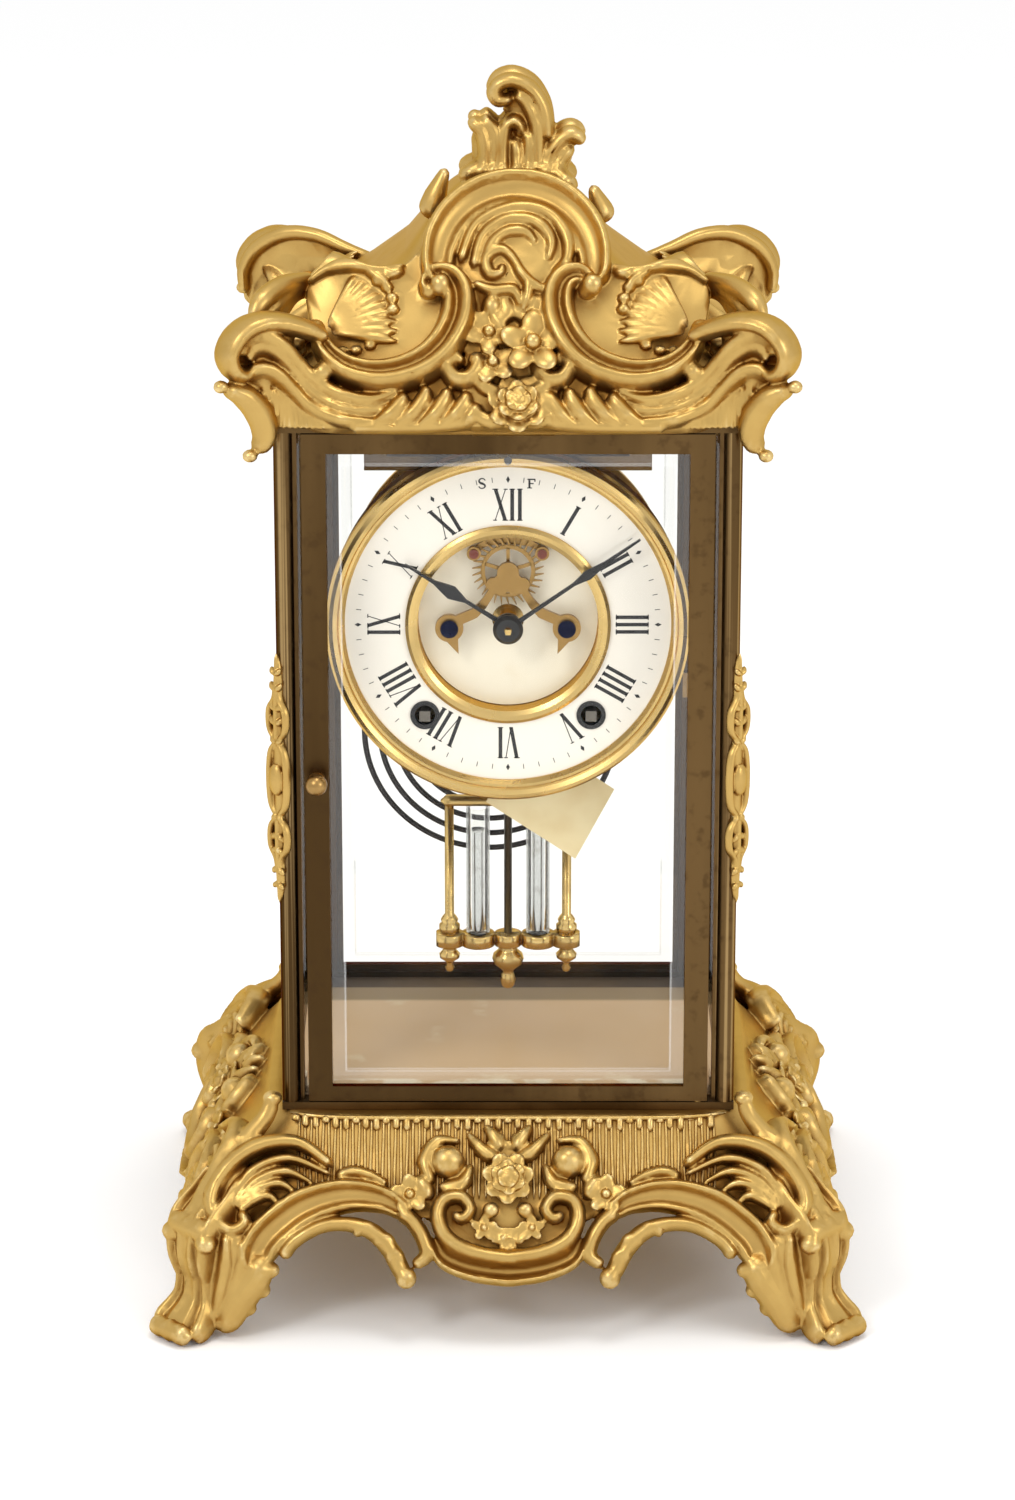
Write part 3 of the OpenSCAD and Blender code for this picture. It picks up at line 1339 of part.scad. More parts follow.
module pendulum_frame() {
    bob_half = 24;
    bob_depth = 10;
    bar_half = 22;
    bar_depth = 5;
    color(brass) translate([0, pendulum_back, 0]) difference() {
        union() {
            box([-bob_half, -bob_depth / 2, bob_z], [bob_half, bob_depth / 2, bob_z + bob_t]);
            box([-bar_half, -bar_depth / 2, bar_low], [bar_half, bar_depth / 2, bar_low + 4]);
            for (s = [-1, 1]) translate([s * rod_x, 0, 0]) {
                rod(rod_r, bob_z, bar_low + 1);
                rotate_extrude($fn = 48) polygon([[0, bob_z - 7], [1.2, bob_z - 6.4], [1.8, bob_z - 5], [1, bob_z - 3.4],
                    [2.4, bob_z - 1.6], [2.4, bob_z + 1], [0, bob_z + 1]]);
            }
            rotate_extrude($fn = 48) polygon([[0, bob_z - 15], [1.4, bob_z - 14], [2.4, bob_z - 11.5], [1.4, bob_z - 9],
                [2.2, bob_z - 7.6], [4, bob_z - 5], [4.4, bob_z - 3], [3.4, bob_z - 1.4], [3.4, bob_z + eps], [0, bob_z + eps]]);
        }
        rod(rod_r + fixed_fit, bob_z, bar_low + 10);
    }
}

module vials() {
    color(clear_glass) translate([0, pendulum_back, 0]) for (s = [-1, 1]) translate([s * vial_x, 0, 0]) difference() {
        rod(vial_r, bob_z + bob_t, bar_low);
        rod(vial_r - vial_wall, bob_z + bob_t + 1, bar_low + 1);
    }
}

module mercury() {
    floor_z = bob_z + bob_t + 1;
    color(silver) translate([0, pendulum_back, 0]) for (s = [-1, 1]) translate([s * vial_x, 0, 0])
        rod(vial_r - vial_wall - run_fit, floor_z, floor_z + mercury_h);
}

module paper_slip() {
    k = bezel_r / 56.6;
    color(paper) at_dial() translate([0, 0, plate_rear - slip_t]) linear_extrude(slip_t)
        polygon(scaled([[-7, -63.8], [21.5, -83], [33.8, -59.6], [5.3, -40.4]], k, k));
}

base_casting();
bottom_frame();
column_front_left();
column_front_right();
column_rear_left();
column_rear_right();
top_frame();
top_casting();
corner_mounts();
glass_left();
glass_right();
front_door_frame();
front_glass();
front_knob();
rear_door_frame();
rear_glass();
rear_knob();
door_pivots();
casting_screws();
movement_carrier();
carrier_screws();
bezel();
dial_ring();
sight_ring();
dial_centre();
winding_grommets();
escapement_bridge();
bridge_screws();
front_plate();
back_plate();
time_great_wheel();
time_mainspring();
time_winding_arbor();
time_second_wheel();
centre_wheel();
third_wheel();
escape_wheel();
anchor();
pallet_jewels();
cannon_pinion();
minute_wheel();
hour_wheel();
hour_hand();
minute_hand();
hand_nut();
strike_great_wheel();
strike_mainspring();
strike_winding_arbor();
strike_pin_wheel();
strike_fly();
hammer();
gong();
suspension_cock();
suspension_spring();
regulator_arbor();
pendulum_frame();
pendulum_rod();
vials();
mercury();
paper_slip();
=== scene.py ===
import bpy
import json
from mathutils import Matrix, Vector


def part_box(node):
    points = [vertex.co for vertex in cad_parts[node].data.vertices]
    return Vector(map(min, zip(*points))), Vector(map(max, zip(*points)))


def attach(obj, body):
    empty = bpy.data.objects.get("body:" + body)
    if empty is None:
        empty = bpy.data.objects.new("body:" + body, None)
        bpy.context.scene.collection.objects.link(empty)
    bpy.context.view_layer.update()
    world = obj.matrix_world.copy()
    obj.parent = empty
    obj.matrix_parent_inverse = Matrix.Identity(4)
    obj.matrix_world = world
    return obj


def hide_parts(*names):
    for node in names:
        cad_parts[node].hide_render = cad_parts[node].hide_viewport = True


bl_info = {
    "name": "Crystal regulator clock",
    "version": (1, 0, 0),
    "blender": (4, 5, 0),
    "location": "View3D > Sidebar > Clock",
    "description": "Finishes, cast ornament, dial and stage of a crystal regulator clock",
    "category": "Object",
}

import json
import math

import bmesh
import bpy
import numpy as np
from bpy.props import FloatProperty, FloatVectorProperty, IntProperty, PointerProperty
from mathutils import Vector

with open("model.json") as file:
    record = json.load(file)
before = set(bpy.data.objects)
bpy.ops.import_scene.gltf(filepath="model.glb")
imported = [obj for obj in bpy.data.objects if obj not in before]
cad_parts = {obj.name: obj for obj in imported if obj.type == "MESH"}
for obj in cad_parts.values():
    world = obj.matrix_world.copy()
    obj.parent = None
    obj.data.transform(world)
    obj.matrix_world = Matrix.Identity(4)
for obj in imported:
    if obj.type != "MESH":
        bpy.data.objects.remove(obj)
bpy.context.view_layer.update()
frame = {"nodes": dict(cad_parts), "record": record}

MM = 0.001

# millimetres in the clock's own frame
DIAL_Z = 220.0
DIAL_FRONT = 36.0
BASE_TOP = 65.5
CASE_TOP = 289.1


# sizes and colours


def colour(name, description, value):
    return FloatVectorProperty(
        name=name, description=description, subtype="COLOR", size=3, min=0, max=1, default=value
    )


def length(name, description, value):
    return FloatProperty(name=name, description=description, unit="LENGTH", default=value)


class ClockColours(bpy.types.PropertyGroup):
    gilt: colour("Gilt", "Raised parts of the castings", (0.53, 0.345, 0.108))
    # painted shade: colour the castings' hollows get wherever ambient occlusion finds them
    gilt_painted_shade: colour("Gilt hollows", "Hollows of the castings", (0.27, 0.13, 0.026))
    # rubbed edges of the castings, partly a painted highlight where edges catch the light
    gilt_worn_and_highlight: colour("Gilt edges", "Rubbed edges of the castings", (0.86, 0.68, 0.34))
    case_brass: colour("Case brass", "Patinated brass of the case", (0.062, 0.034, 0.012))
    case_rubbed: colour("Rubbed case brass", "Lighter streaks on the case", (0.17, 0.10, 0.038))
    floor: colour("Case floor", "Worn lacquer on the floor inside", (0.62, 0.42, 0.225))
    brass: colour("Brass", "Bezel, wheels and pendulum", (0.70, 0.49, 0.19))
    porcelain: colour("Porcelain", "Dial ring", (0.95, 0.90, 0.82))
    centre: colour("Dial centre", "Recessed centre of the dial", (0.92, 0.85, 0.70))
    ink: colour("Ink", "Numerals and minute track", (0.012, 0.012, 0.014))
    blued: colour("Blued steel", "Screws", (0.007, 0.009, 0.028))
    jewel: colour("Jewel", "Pallet stones", (0.12, 0.014, 0.006))
    paper: colour("Paper", "Slip behind the bezel", (0.95, 0.81, 0.50))
    mercury: colour("Mercury", "Liquid in the vials", (0.62, 0.63, 0.64))
    backdrop: colour("Backdrop", "Floor and background", (1.0, 1.0, 1.0))


class ClockSizes(bpy.types.PropertyGroup):
    grain: length("Casting grain", "Cell size of the cast ornament", 0.0005)
    ornament_faces: IntProperty(
        name="Ornament faces", description="Faces kept on one casting", default=110000
    )
    ink_rise: length("Ink rise", "Height of the fired numerals over the porcelain", 0.00006)
    numeral_foot: length("Numeral foot", "Radius of the inner ends of the numerals", 0.0335)
    numeral_head: length("Numeral head", "Radius of the outer ends of the numerals", 0.0438)
    # painted reflection: width of a ground edge that is not in the shape, only painted by the glass finish
    painted_glass_bevel: length("Glass bevel", "Width of the ground edge of a pane", 0.0058)
    gong_wire: length("Gong wire", "Radius of the gong wire", 0.00095)


# shader sockets that add, multiply and mix


class Socket:
    """An output of a shader node that takes part in Python expressions."""

    def __init__(self, finish, output):
        self.finish = finish
        self.output = output

    def maths(self, operation, left, right):
        return self.finish.add("ShaderNodeMath", {"operation": operation}, {0: left, 1: right})

    def __add__(self, other):
        return self.maths("ADD", self, other)

    def __radd__(self, other):
        return self.maths("ADD", other, self)

    def __sub__(self, other):
        return self.maths("SUBTRACT", self, other)

    def __rsub__(self, other):
        return self.maths("SUBTRACT", other, self)

    def __mul__(self, other):
        return self.maths("MULTIPLY", self, other)

    def __rmul__(self, other):
        return self.maths("MULTIPLY", other, self)

    def __truediv__(self, other):
        return self.maths("DIVIDE", self, other)

    def __rtruediv__(self, other):
        return self.maths("DIVIDE", other, self)

    def __pow__(self, other):
        return self.maths("POWER", self, other)

    def __abs__(self):
        return self.maths("ABSOLUTE", self, 0.0)

    def least(self, other):
        return self.maths("MINIMUM", self, other)

    def most(self, other):
        return self.maths("MAXIMUM", self, other)


class Nodes:
    """A node tree, built from expressions of sockets."""

    def __init__(self, tree):
        self.tree = tree

    def feed(self, target, value):
        if isinstance(value, Socket):
            self.tree.links.new(value.output, target)
        elif target.type == "RGBA" and len(value) == 3:
            target.default_value = (*value, 1)
        else:
            target.default_value = value

    def add(self, kind, settings=None, sockets=None, output=0):
        """A node: its settings are set first, then its sockets get values or links."""
        node = self.tree.nodes.new(kind)
        for key, value in (settings or {}).items():
            setattr(node, key, value)
        for key, value in (sockets or {}).items():
            self.feed(node.inputs[key], value)
        return Socket(self, node.outputs[output])

    def ray(self, kind):
        return self.add("ShaderNodeLightPath", output=kind)


class Finish(Nodes):
    """A material and its node tree."""

    def __init__(self, name):
        self.material = bpy.data.materials.new(name)
        self.material.use_nodes = True
        super().__init__(self.material.node_tree)
        self.shader = self.tree.nodes["Principled BSDF"]
        self.surface = self.tree.nodes["Material Output"].inputs["Surface"]

    def principled(self, **sockets):
        for key, value in sockets.items():
            self.feed(self.shader.inputs[key.replace("_", " ").title()], value)
        return self.material

    def place(self):
        return self.add("ShaderNodeTexCoord", output="Object")

    def axes(self):
        split = self.add("ShaderNodeSeparateXYZ", sockets={0: self.place()}).output.node
        return [Socket(self, split.outputs[k]) for k in range(3)]

    def stretched(self, x, y, z):
        return self.add("ShaderNodeVectorMath", {"operation": "MULTIPLY"}, {0: self.place(), 1: (x, y, z)})

    def noise(self, scale, detail=4.0, vector=None):
        sockets = {"Vector": vector or self.place(), "Scale": scale, "Detail": detail}
        return self.add("ShaderNodeTexNoise", sockets=sockets)

    def band(self, value, low, high, start=0.0, end=1.0):
        sockets = {"Value": value, "From Min": low, "From Max": high, "To Min": start, "To Max": end}
        return self.add("ShaderNodeMapRange", {"interpolation_type": "SMOOTHSTEP"}, sockets)

    def mix(self, factor, first, second):
        return self.add("ShaderNodeMix", {"data_type": "RGBA"}, {0: factor, 6: first, 7: second}, 2)

    def shade(self, distance):
        return self.add("ShaderNodeAmbientOcclusion", {"samples": 12}, {"Distance": distance}, "AO")

    def edges(self):
        return self.add("ShaderNodeNewGeometry", output="Pointiness")

    def bump(self, height, strength, distance):
        sockets = {"Height": height, "Strength": strength, "Distance": distance}
        return self.add("ShaderNodeBump", sockets=sockets)


# finishes


def gilt_finish(tones):
    f = Finish("satin gilt")
    # painted shade: ambient occlusion darkens the hollows toward the shade colour; the mask is 1 on open
    # surfaces and 0 in hollows, which are also made rougher
    painted_shade_openness = f.band(f.shade(0.006), 0.25, 0.95)
    cloudy = f.noise(90.0)
    tone = f.mix(painted_shade_openness * (0.72 + 0.5 * cloudy), tuple(tones.gilt_painted_shade), tuple(tones.gilt))
    # edges found by pointiness are lightened: partly rubbed gilt, partly a painted highlight on the edges
    worn = f.band(f.edges(), 0.52, 0.60) * f.band(f.noise(400.0), 0.35, 0.6) * 0.8
    return f.principled(
        base_color=f.mix(worn, tone, tuple(tones.gilt_worn_and_highlight)),
        metallic=1.0,
        specular_tint=(0.85, 0.66, 0.36),
        roughness=0.30 + 0.16 * f.noise(160.0) + 0.12 * (1.0 - painted_shade_openness),
        normal=f.bump(f.noise(1500.0), 0.25, 0.0001),
    )


def case_finish(tones, name, lines=0.0):
    """Dark brass; lines is the strength of painted highlight lines, bright upright lines that stand for the
    highlights on the columns' reeds.
    """
    f = Finish(name)
    streaks = f.band(f.noise(22.0, 6.0, f.stretched(1, 1, 0.10)), 0.42, 0.72)
    spots = f.band(f.noise(240.0, 5.0), 0.52, 0.72)
    tone = f.mix(streaks * 0.75, tuple(tones.case_brass), tuple(tones.case_rubbed))
    tone = f.mix(spots * 0.35, tone, (0.07, 0.038, 0.016))
    # painted highlight: thin bright upright lines in place of the highlights that the reeded profile of the
    # columns would catch
    bright = f.band(f.noise(620.0, 2.0, f.stretched(1, 1, 0.004)), 0.52, 0.66)
    tone = f.mix(bright * lines, tone, (0.42, 0.28, 0.12))
    return f.principled(
        base_color=tone,
        metallic=1.0,
        specular_tint=(0.42, 0.27, 0.13),
        roughness=0.30 + 0.22 * spots + 0.10 * streaks,
        normal=f.bump(f.noise(900.0), 0.15, 0.0001),
    )


def floor_finish(tones):
    f = Finish("worn case floor")
    x, y, z = f.axes()
    haze = f.band(f.noise(14.0, 3.0), 0.35, 0.7)
    plate = f.mix(haze * 0.5, tuple(tones.floor), (0.53, 0.35, 0.18))
    plate = f.mix(f.band(f.noise(60.0, 7.0), 0.62, 0.74) * 0.5, plate, (0.74, 0.62, 0.40))
    bare = f.band(y, -0.0415, -0.0435) * f.band(f.noise(70.0, 6.0), 0.46, 0.55)
    plate = f.mix(bare * 0.8, plate, (0.80, 0.72, 0.54))
    olive = f.band(y, 0.026, 0.029)
    plate = f.mix(olive * 0.9, plate, (0.22, 0.14, 0.045))
    inside = f.band(y, -0.0500, -0.0490) * f.band(y, 0.040, 0.0385) * f.band(z, 0.0675, 0.0680)
    rim = f.mix(f.band(f.noise(30.0), 0.4, 0.7) * 0.6, tuple(tones.case_brass), tuple(tones.case_rubbed))
    return f.principled(
        base_color=f.mix(inside, rim, plate),
        metallic=1.0 - inside,
        roughness=0.42 + 0.15 * haze,
    )


def turned_finish(tones, name, base, roughness):
    f = Finish(name)
    x, y, z = f.axes()
    rise = z - DIAL_Z * MM
    radius = (x * x + rise * rise) ** 0.5
    turning = {"W": radius, "Scale": 2600.0, "Detail": 3.0}
    rings = f.add("ShaderNodeTexNoise", {"noise_dimensions": "1D"}, turning)
    dull = f.band(f.noise(60.0, 5.0), 0.45, 0.7)
    tone = f.mix(dull * 0.45, base, tuple(0.62 * c for c in base))
    return f.principled(
        base_color=tone,
        metallic=1.0,
        specular_tint=(0.85, 0.62, 0.30),
        roughness=roughness + 0.14 * dull,
        normal=f.bump(rings, 0.12, 0.00008),
    )


def brass_finish(tones):
    f = Finish("lacquered brass")
    dull = f.band(f.noise(110.0, 5.0), 0.42, 0.68)
    tone = f.mix(dull * 0.5, tuple(tones.brass), tuple(0.55 * c for c in tones.brass))
    # painted shade: ambient occlusion darkens the crevices of the brass toward dark brown
    tone = f.mix(f.band(f.shade(0.004), 0.9, 0.3) * 0.6, tone, (0.16, 0.085, 0.03))
    return f.principled(
        base_color=tone,
        metallic=1.0,
        specular_tint=(0.85, 0.62, 0.30),
        roughness=0.22 + 0.16 * dull,
    )


def porcelain_finish(tones):
    f = Finish("glazed porcelain")
    tint = f.band(f.noise(35.0), 0.4, 0.7)
    tone = f.mix(tint * 0.25, tuple(tones.porcelain), (0.88, 0.83, 0.74))
    return f.principled(base_color=tone, roughness=0.16 + 0.08 * tint, coat_weight=0.5)


def centre_finish(tones):
    f = Finish("cream dial centre")
    stain = f.band(f.noise(55.0, 6.0), 0.45, 0.72)
    tone = f.mix(stain * 0.4, tuple(tones.centre), (0.78, 0.66, 0.46))
    return f.principled(base_color=tone, roughness=0.36 + 0.1 * stain)


def plain_metal(name, base, roughness, speckle=0.3):
    f = Finish(name)
    wear = f.band(f.noise(300.0, 5.0), 0.45, 0.7)
    tone = f.mix(wear * speckle, base, tuple(min(1.0, 1.5 * c + 0.02) for c in base))
    return f.principled(base_color=tone, metallic=1.0, roughness=roughness + 0.12 * wear)


def black_finish():
    f = Finish("black steel")
    dust = f.band(f.noise(500.0, 4.0), 0.55, 0.75)
    tone = f.mix(dust * 0.4, (0.010, 0.010, 0.012), (0.05, 0.05, 0.05))
    return f.principled(base_color=tone, roughness=0.28 + 0.2 * dust)


def ink_finish(tones):
    f = Finish("fired ink")
    fade = f.band(f.noise(260.0), 0.5, 0.8)
    return f.principled(base_color=f.mix(fade, tuple(tones.ink), (0.03, 0.03, 0.033)), roughness=0.3)


def jewel_finish(tones):
    f = Finish("pallet jewel")
    glow = f.noise(900.0)
    tone = f.mix(glow, tuple(tones.jewel), (0.20, 0.03, 0.012))
    return f.principled(base_color=tone, roughness=0.3, coat_weight=0.2)


def paper_finish(tones):
    f = Finish("old paper")
    fibre = f.noise(700.0, 6.0)
    age = f.band(f.noise(60.0), 0.35, 0.75)
    tone = f.mix(age, tuple(tones.paper), (0.84, 0.67, 0.37))
    return f.principled(base_color=tone, roughness=0.9, normal=f.bump(fibre, 0.3, 0.0001))


def mercury_finish(tones):
    f = Finish("mercury")
    film = f.band(f.noise(200.0), 0.5, 0.8)
    tone = f.mix(film, tuple(tones.mercury), (0.45, 0.44, 0.42))
    return f.principled(base_color=tone, metallic=1.0, roughness=0.08 + 0.1 * film)


def glass_finish(name, strength=0.12, painted_bevel=0.0, pane=None):
    """Clear glass: straight-through light, a reflection that grows at glancing angles, and a ground edge that
    is painted as a band of stronger reflection and a painted highlight line, with no bevel in the shape.
    """
    f = Finish(name)
    f.tree.nodes.remove(f.shader)
    clear = f.add("ShaderNodeBsdfTransparent", sockets={"Color": (0.985, 0.985, 0.975, 1)})
    smear = 0.02 + 0.03 * f.noise(30.0)
    shine = f.add("ShaderNodeBsdfGlossy", sockets={"Color": (1, 1, 1, 1), "Roughness": smear})
    share = f.add("ShaderNodeFresnel", sockets={"IOR": 1.45}) * strength
    if pane:
        low, high = pane
        x, y, z = f.axes()
        across = (high.x - low.x) / 2 - abs(x - (high.x + low.x) / 2)
        upright = (high.z - low.z) / 2 - abs(z - (high.z + low.z) / 2)
        edge = across.least(upright)
        # painted highlight: a thin line of strong reflection at the inner border of the ground edge, and a
        # slightly stronger painted reflection over the edge band
        line = f.band(edge, painted_bevel - 0.0004, painted_bevel) * f.band(edge, painted_bevel + 0.0005, painted_bevel + 0.0001)
        share = share + 0.04 * f.band(edge, painted_bevel + 0.0002, painted_bevel - 0.0002) + 0.16 * line
    f.feed(f.surface, f.add("ShaderNodeMixShader", sockets={0: share, 1: clear, 2: shine}))
    return f.material


def finishes(context):
    """Every finish of the clock by its slot name, made once."""
    tones = context.scene.clock_colours
    painted_bevel = context.scene.clock_sizes.painted_glass_bevel
    makers = {
        "gilt": lambda: gilt_finish(tones),
        "dark_brass": lambda: case_finish(tones, "patinated case brass"),
        "column": lambda: case_finish(tones, "streaked_and_painted_highlight column brass", 0.7),
        "floor": lambda: floor_finish(tones),
        "bezel": lambda: turned_finish(tones, "turned bezel brass", tuple(tones.brass), 0.26),
        "brass": lambda: brass_finish(tones),
        "glass": lambda: glass_finish("clear glass"),
        "front_pane": lambda: glass_finish("painted-edge front glass", 0.12, painted_bevel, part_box("front_glass")),
        "rear_pane": lambda: glass_finish("painted-edge rear glass", 0.12, painted_bevel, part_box("rear_glass")),
        "vial": lambda: glass_finish("vial glass", 0.8),
        "bronze": lambda: plain_metal("brown bronze", (0.34, 0.205, 0.07), 0.3),
        "worn_steel": lambda: plain_metal("worn steel", (0.17, 0.155, 0.135), 0.4),
        "porcelain": lambda: porcelain_finish(tones),
        "centre": lambda: centre_finish(tones),
        "black_steel": black_finish,
        "steel": lambda: plain_metal("bright steel", (0.55, 0.54, 0.52), 0.2),
        "blued_steel": lambda: plain_metal("blued steel", tuple(tones.blued), 0.18),
        "dark_steel": lambda: plain_metal("dark steel", (0.055, 0.052, 0.055), 0.34),
        "jewel": lambda: jewel_finish(tones),
        "mercury": lambda: mercury_finish(tones),
        "paper": lambda: paper_finish(tones),
        "ink": lambda: ink_finish(tones),
    }
    made = context.scene.get("clock_finishes")
    if made is None:
        context.scene["clock_finishes"] = {key: make().name for key, make in makers.items()}
        made = context.scene["clock_finishes"]
    return {key: bpy.data.materials[made[key]] for key in makers}


# curves and soft modelling, in millimetres


def spline(points, steps=9):
    """Smooth curve through the points."""
    p = np.asarray(points, float)
    p = np.vstack([2 * p[0] - p[1], p, 2 * p[-1] - p[-2]])
    t = np.linspace(0, 1, steps, endpoint=False)[:, None]
    rows = []
    for a, b, c, d in zip(p, p[1:], p[2:], p[3:]):
        square = (2 * a - 5 * b + 4 * c - d) * t**2
        cube = (3 * b - a - 3 * c + d) * t**3
        rows.append(0.5 * (2 * b + (c - a) * t + square + cube))
    return np.vstack(rows + [p[-2:-1]])


def along(values, count):
    """A size that changes along a stroke, from a few values of it."""
    v = np.atleast_1d(np.asarray(values, float))
    if len(v) == 1:
        return np.full(count, v[0])
    return np.interp(np.linspace(0, 1, count), np.linspace(0, 1, len(v)), v)


def unit(v):
    v = np.asarray(v, float)
    return v / np.linalg.norm(v, axis=-1, keepdims=True)


def facing(out):
    """A direction, with the two directions that lie across it."""
    n = unit(out)
    u = unit(np.cross((0, 0, 1), n))
    return n, u, np.cross(n, u)


def round_profile(count=12):
    a = np.arange(count) * 2 * math.pi / count
    return np.column_stack([np.cos(a), np.where(np.sin(a) > 0, np.sin(a), 0.7 * np.sin(a))])


ROUND = round_profile()
GUTTER = np.array(
    [(-0.95, -0.7), (-1.0, 0.35), (-0.86, 0.95), (-0.68, 1.0), (-0.52, 0.7), (-0.3, 0.32), (0.0, 0.2)]
    + [(0.3, 0.32), (0.52, 0.7), (0.68, 1.0), (0.86, 0.95), (1.0, 0.35), (0.95, -0.7)]
)
TWO_ROLLS = np.array(
    [(-1.0, -0.7), (-1.0, 0.1), (-0.92, 0.6), (-0.72, 0.95), (-0.46, 1.0), (-0.2, 0.8), (-0.02, 0.42)]
    + [(0.1, 0.32), (0.24, 0.42), (0.42, 0.62), (0.6, 0.66), (0.8, 0.5), (0.95, 0.15), (1.0, -0.7)]
)
MOULDING = np.array(
    [(-1.0, -0.7), (-1.0, 0.3), (-0.93, 0.72), (-0.78, 0.97), (-0.6, 0.95), (-0.47, 0.7), (-0.36, 0.45)]
    + [(-0.1, 0.3), (0.25, 0.22), (0.45, 0.34), (0.6, 0.5), (0.76, 0.5), (0.92, 0.25), (1.0, -0.7)]
)

# front view: place and tilt of the eye, then focal length, middle and height in picture units
EYE = (-0.16, -1526.3, 668.9)
EYE_TILT = math.radians(18.2)
FOCAL = 5000.0
PICTURE_CENTRE = (507.5, 750.0)
PICTURE_HEIGHT = 1500.0
SENSOR = 36.0

# a place on a surface is found from a first depth, in a few rounds
FIRST_DEPTH = -60.0
SIGHT_ROUNDS = 8


def sight(u, v, y):
    """Where the line of sight through a place of the front view meets the plane at depth y."""
    side = (u - PICTURE_CENTRE[0]) / FOCAL
    rise = (PICTURE_CENTRE[1] - v) / FOCAL
    t = (y - EYE[1]) / (math.cos(EYE_TILT) + rise * math.sin(EYE_TILT))
    return EYE[0] + side * t, EYE[2] + (rise * math.cos(EYE_TILT) - math.sin(EYE_TILT)) * t


def trace(points, depth, lift=0.0, steps=9):
    """A curve drawn in the front view, laid on the surface that depth gives."""
    path = []
    for u, v in spline(points, steps):
        y = FIRST_DEPTH
        for _ in range(SIGHT_ROUNDS):
            x, z = sight(u, v, y)
            y = depth(x, z) - lift
        path.append((x, y, z))
    return np.array(path)


class Wall:
    """Rounded-rectangle walls of a casting: half width and half depth by height."""

    def __init__(self, levels, power):
        self.levels = np.array(levels, float)
        self.power = power

    def half(self, z):
        heights, widths, depths = self.levels.T
        return np.interp(z, heights, widths), np.interp(z, heights, depths)

    def front(self, x, z):
        a, b = self.half(z)
        return -b * (1 - min(abs(x) / a, 0.97) ** self.power) ** (1 / self.power)

    def ring(self, z, count, inset=0.0):
        a, b = self.half(z)
        t = np.arange(count) * 2 * math.pi / count
        c, s = np.cos(t), np.sin(t)
        k = 2 / self.power
        x = (a - inset) * np.sign(c) * np.abs(c) ** k
        y = (b - inset) * np.sign(s) * np.abs(s) ** k
        return np.column_stack([x, y, np.broadcast_to(z, count)])


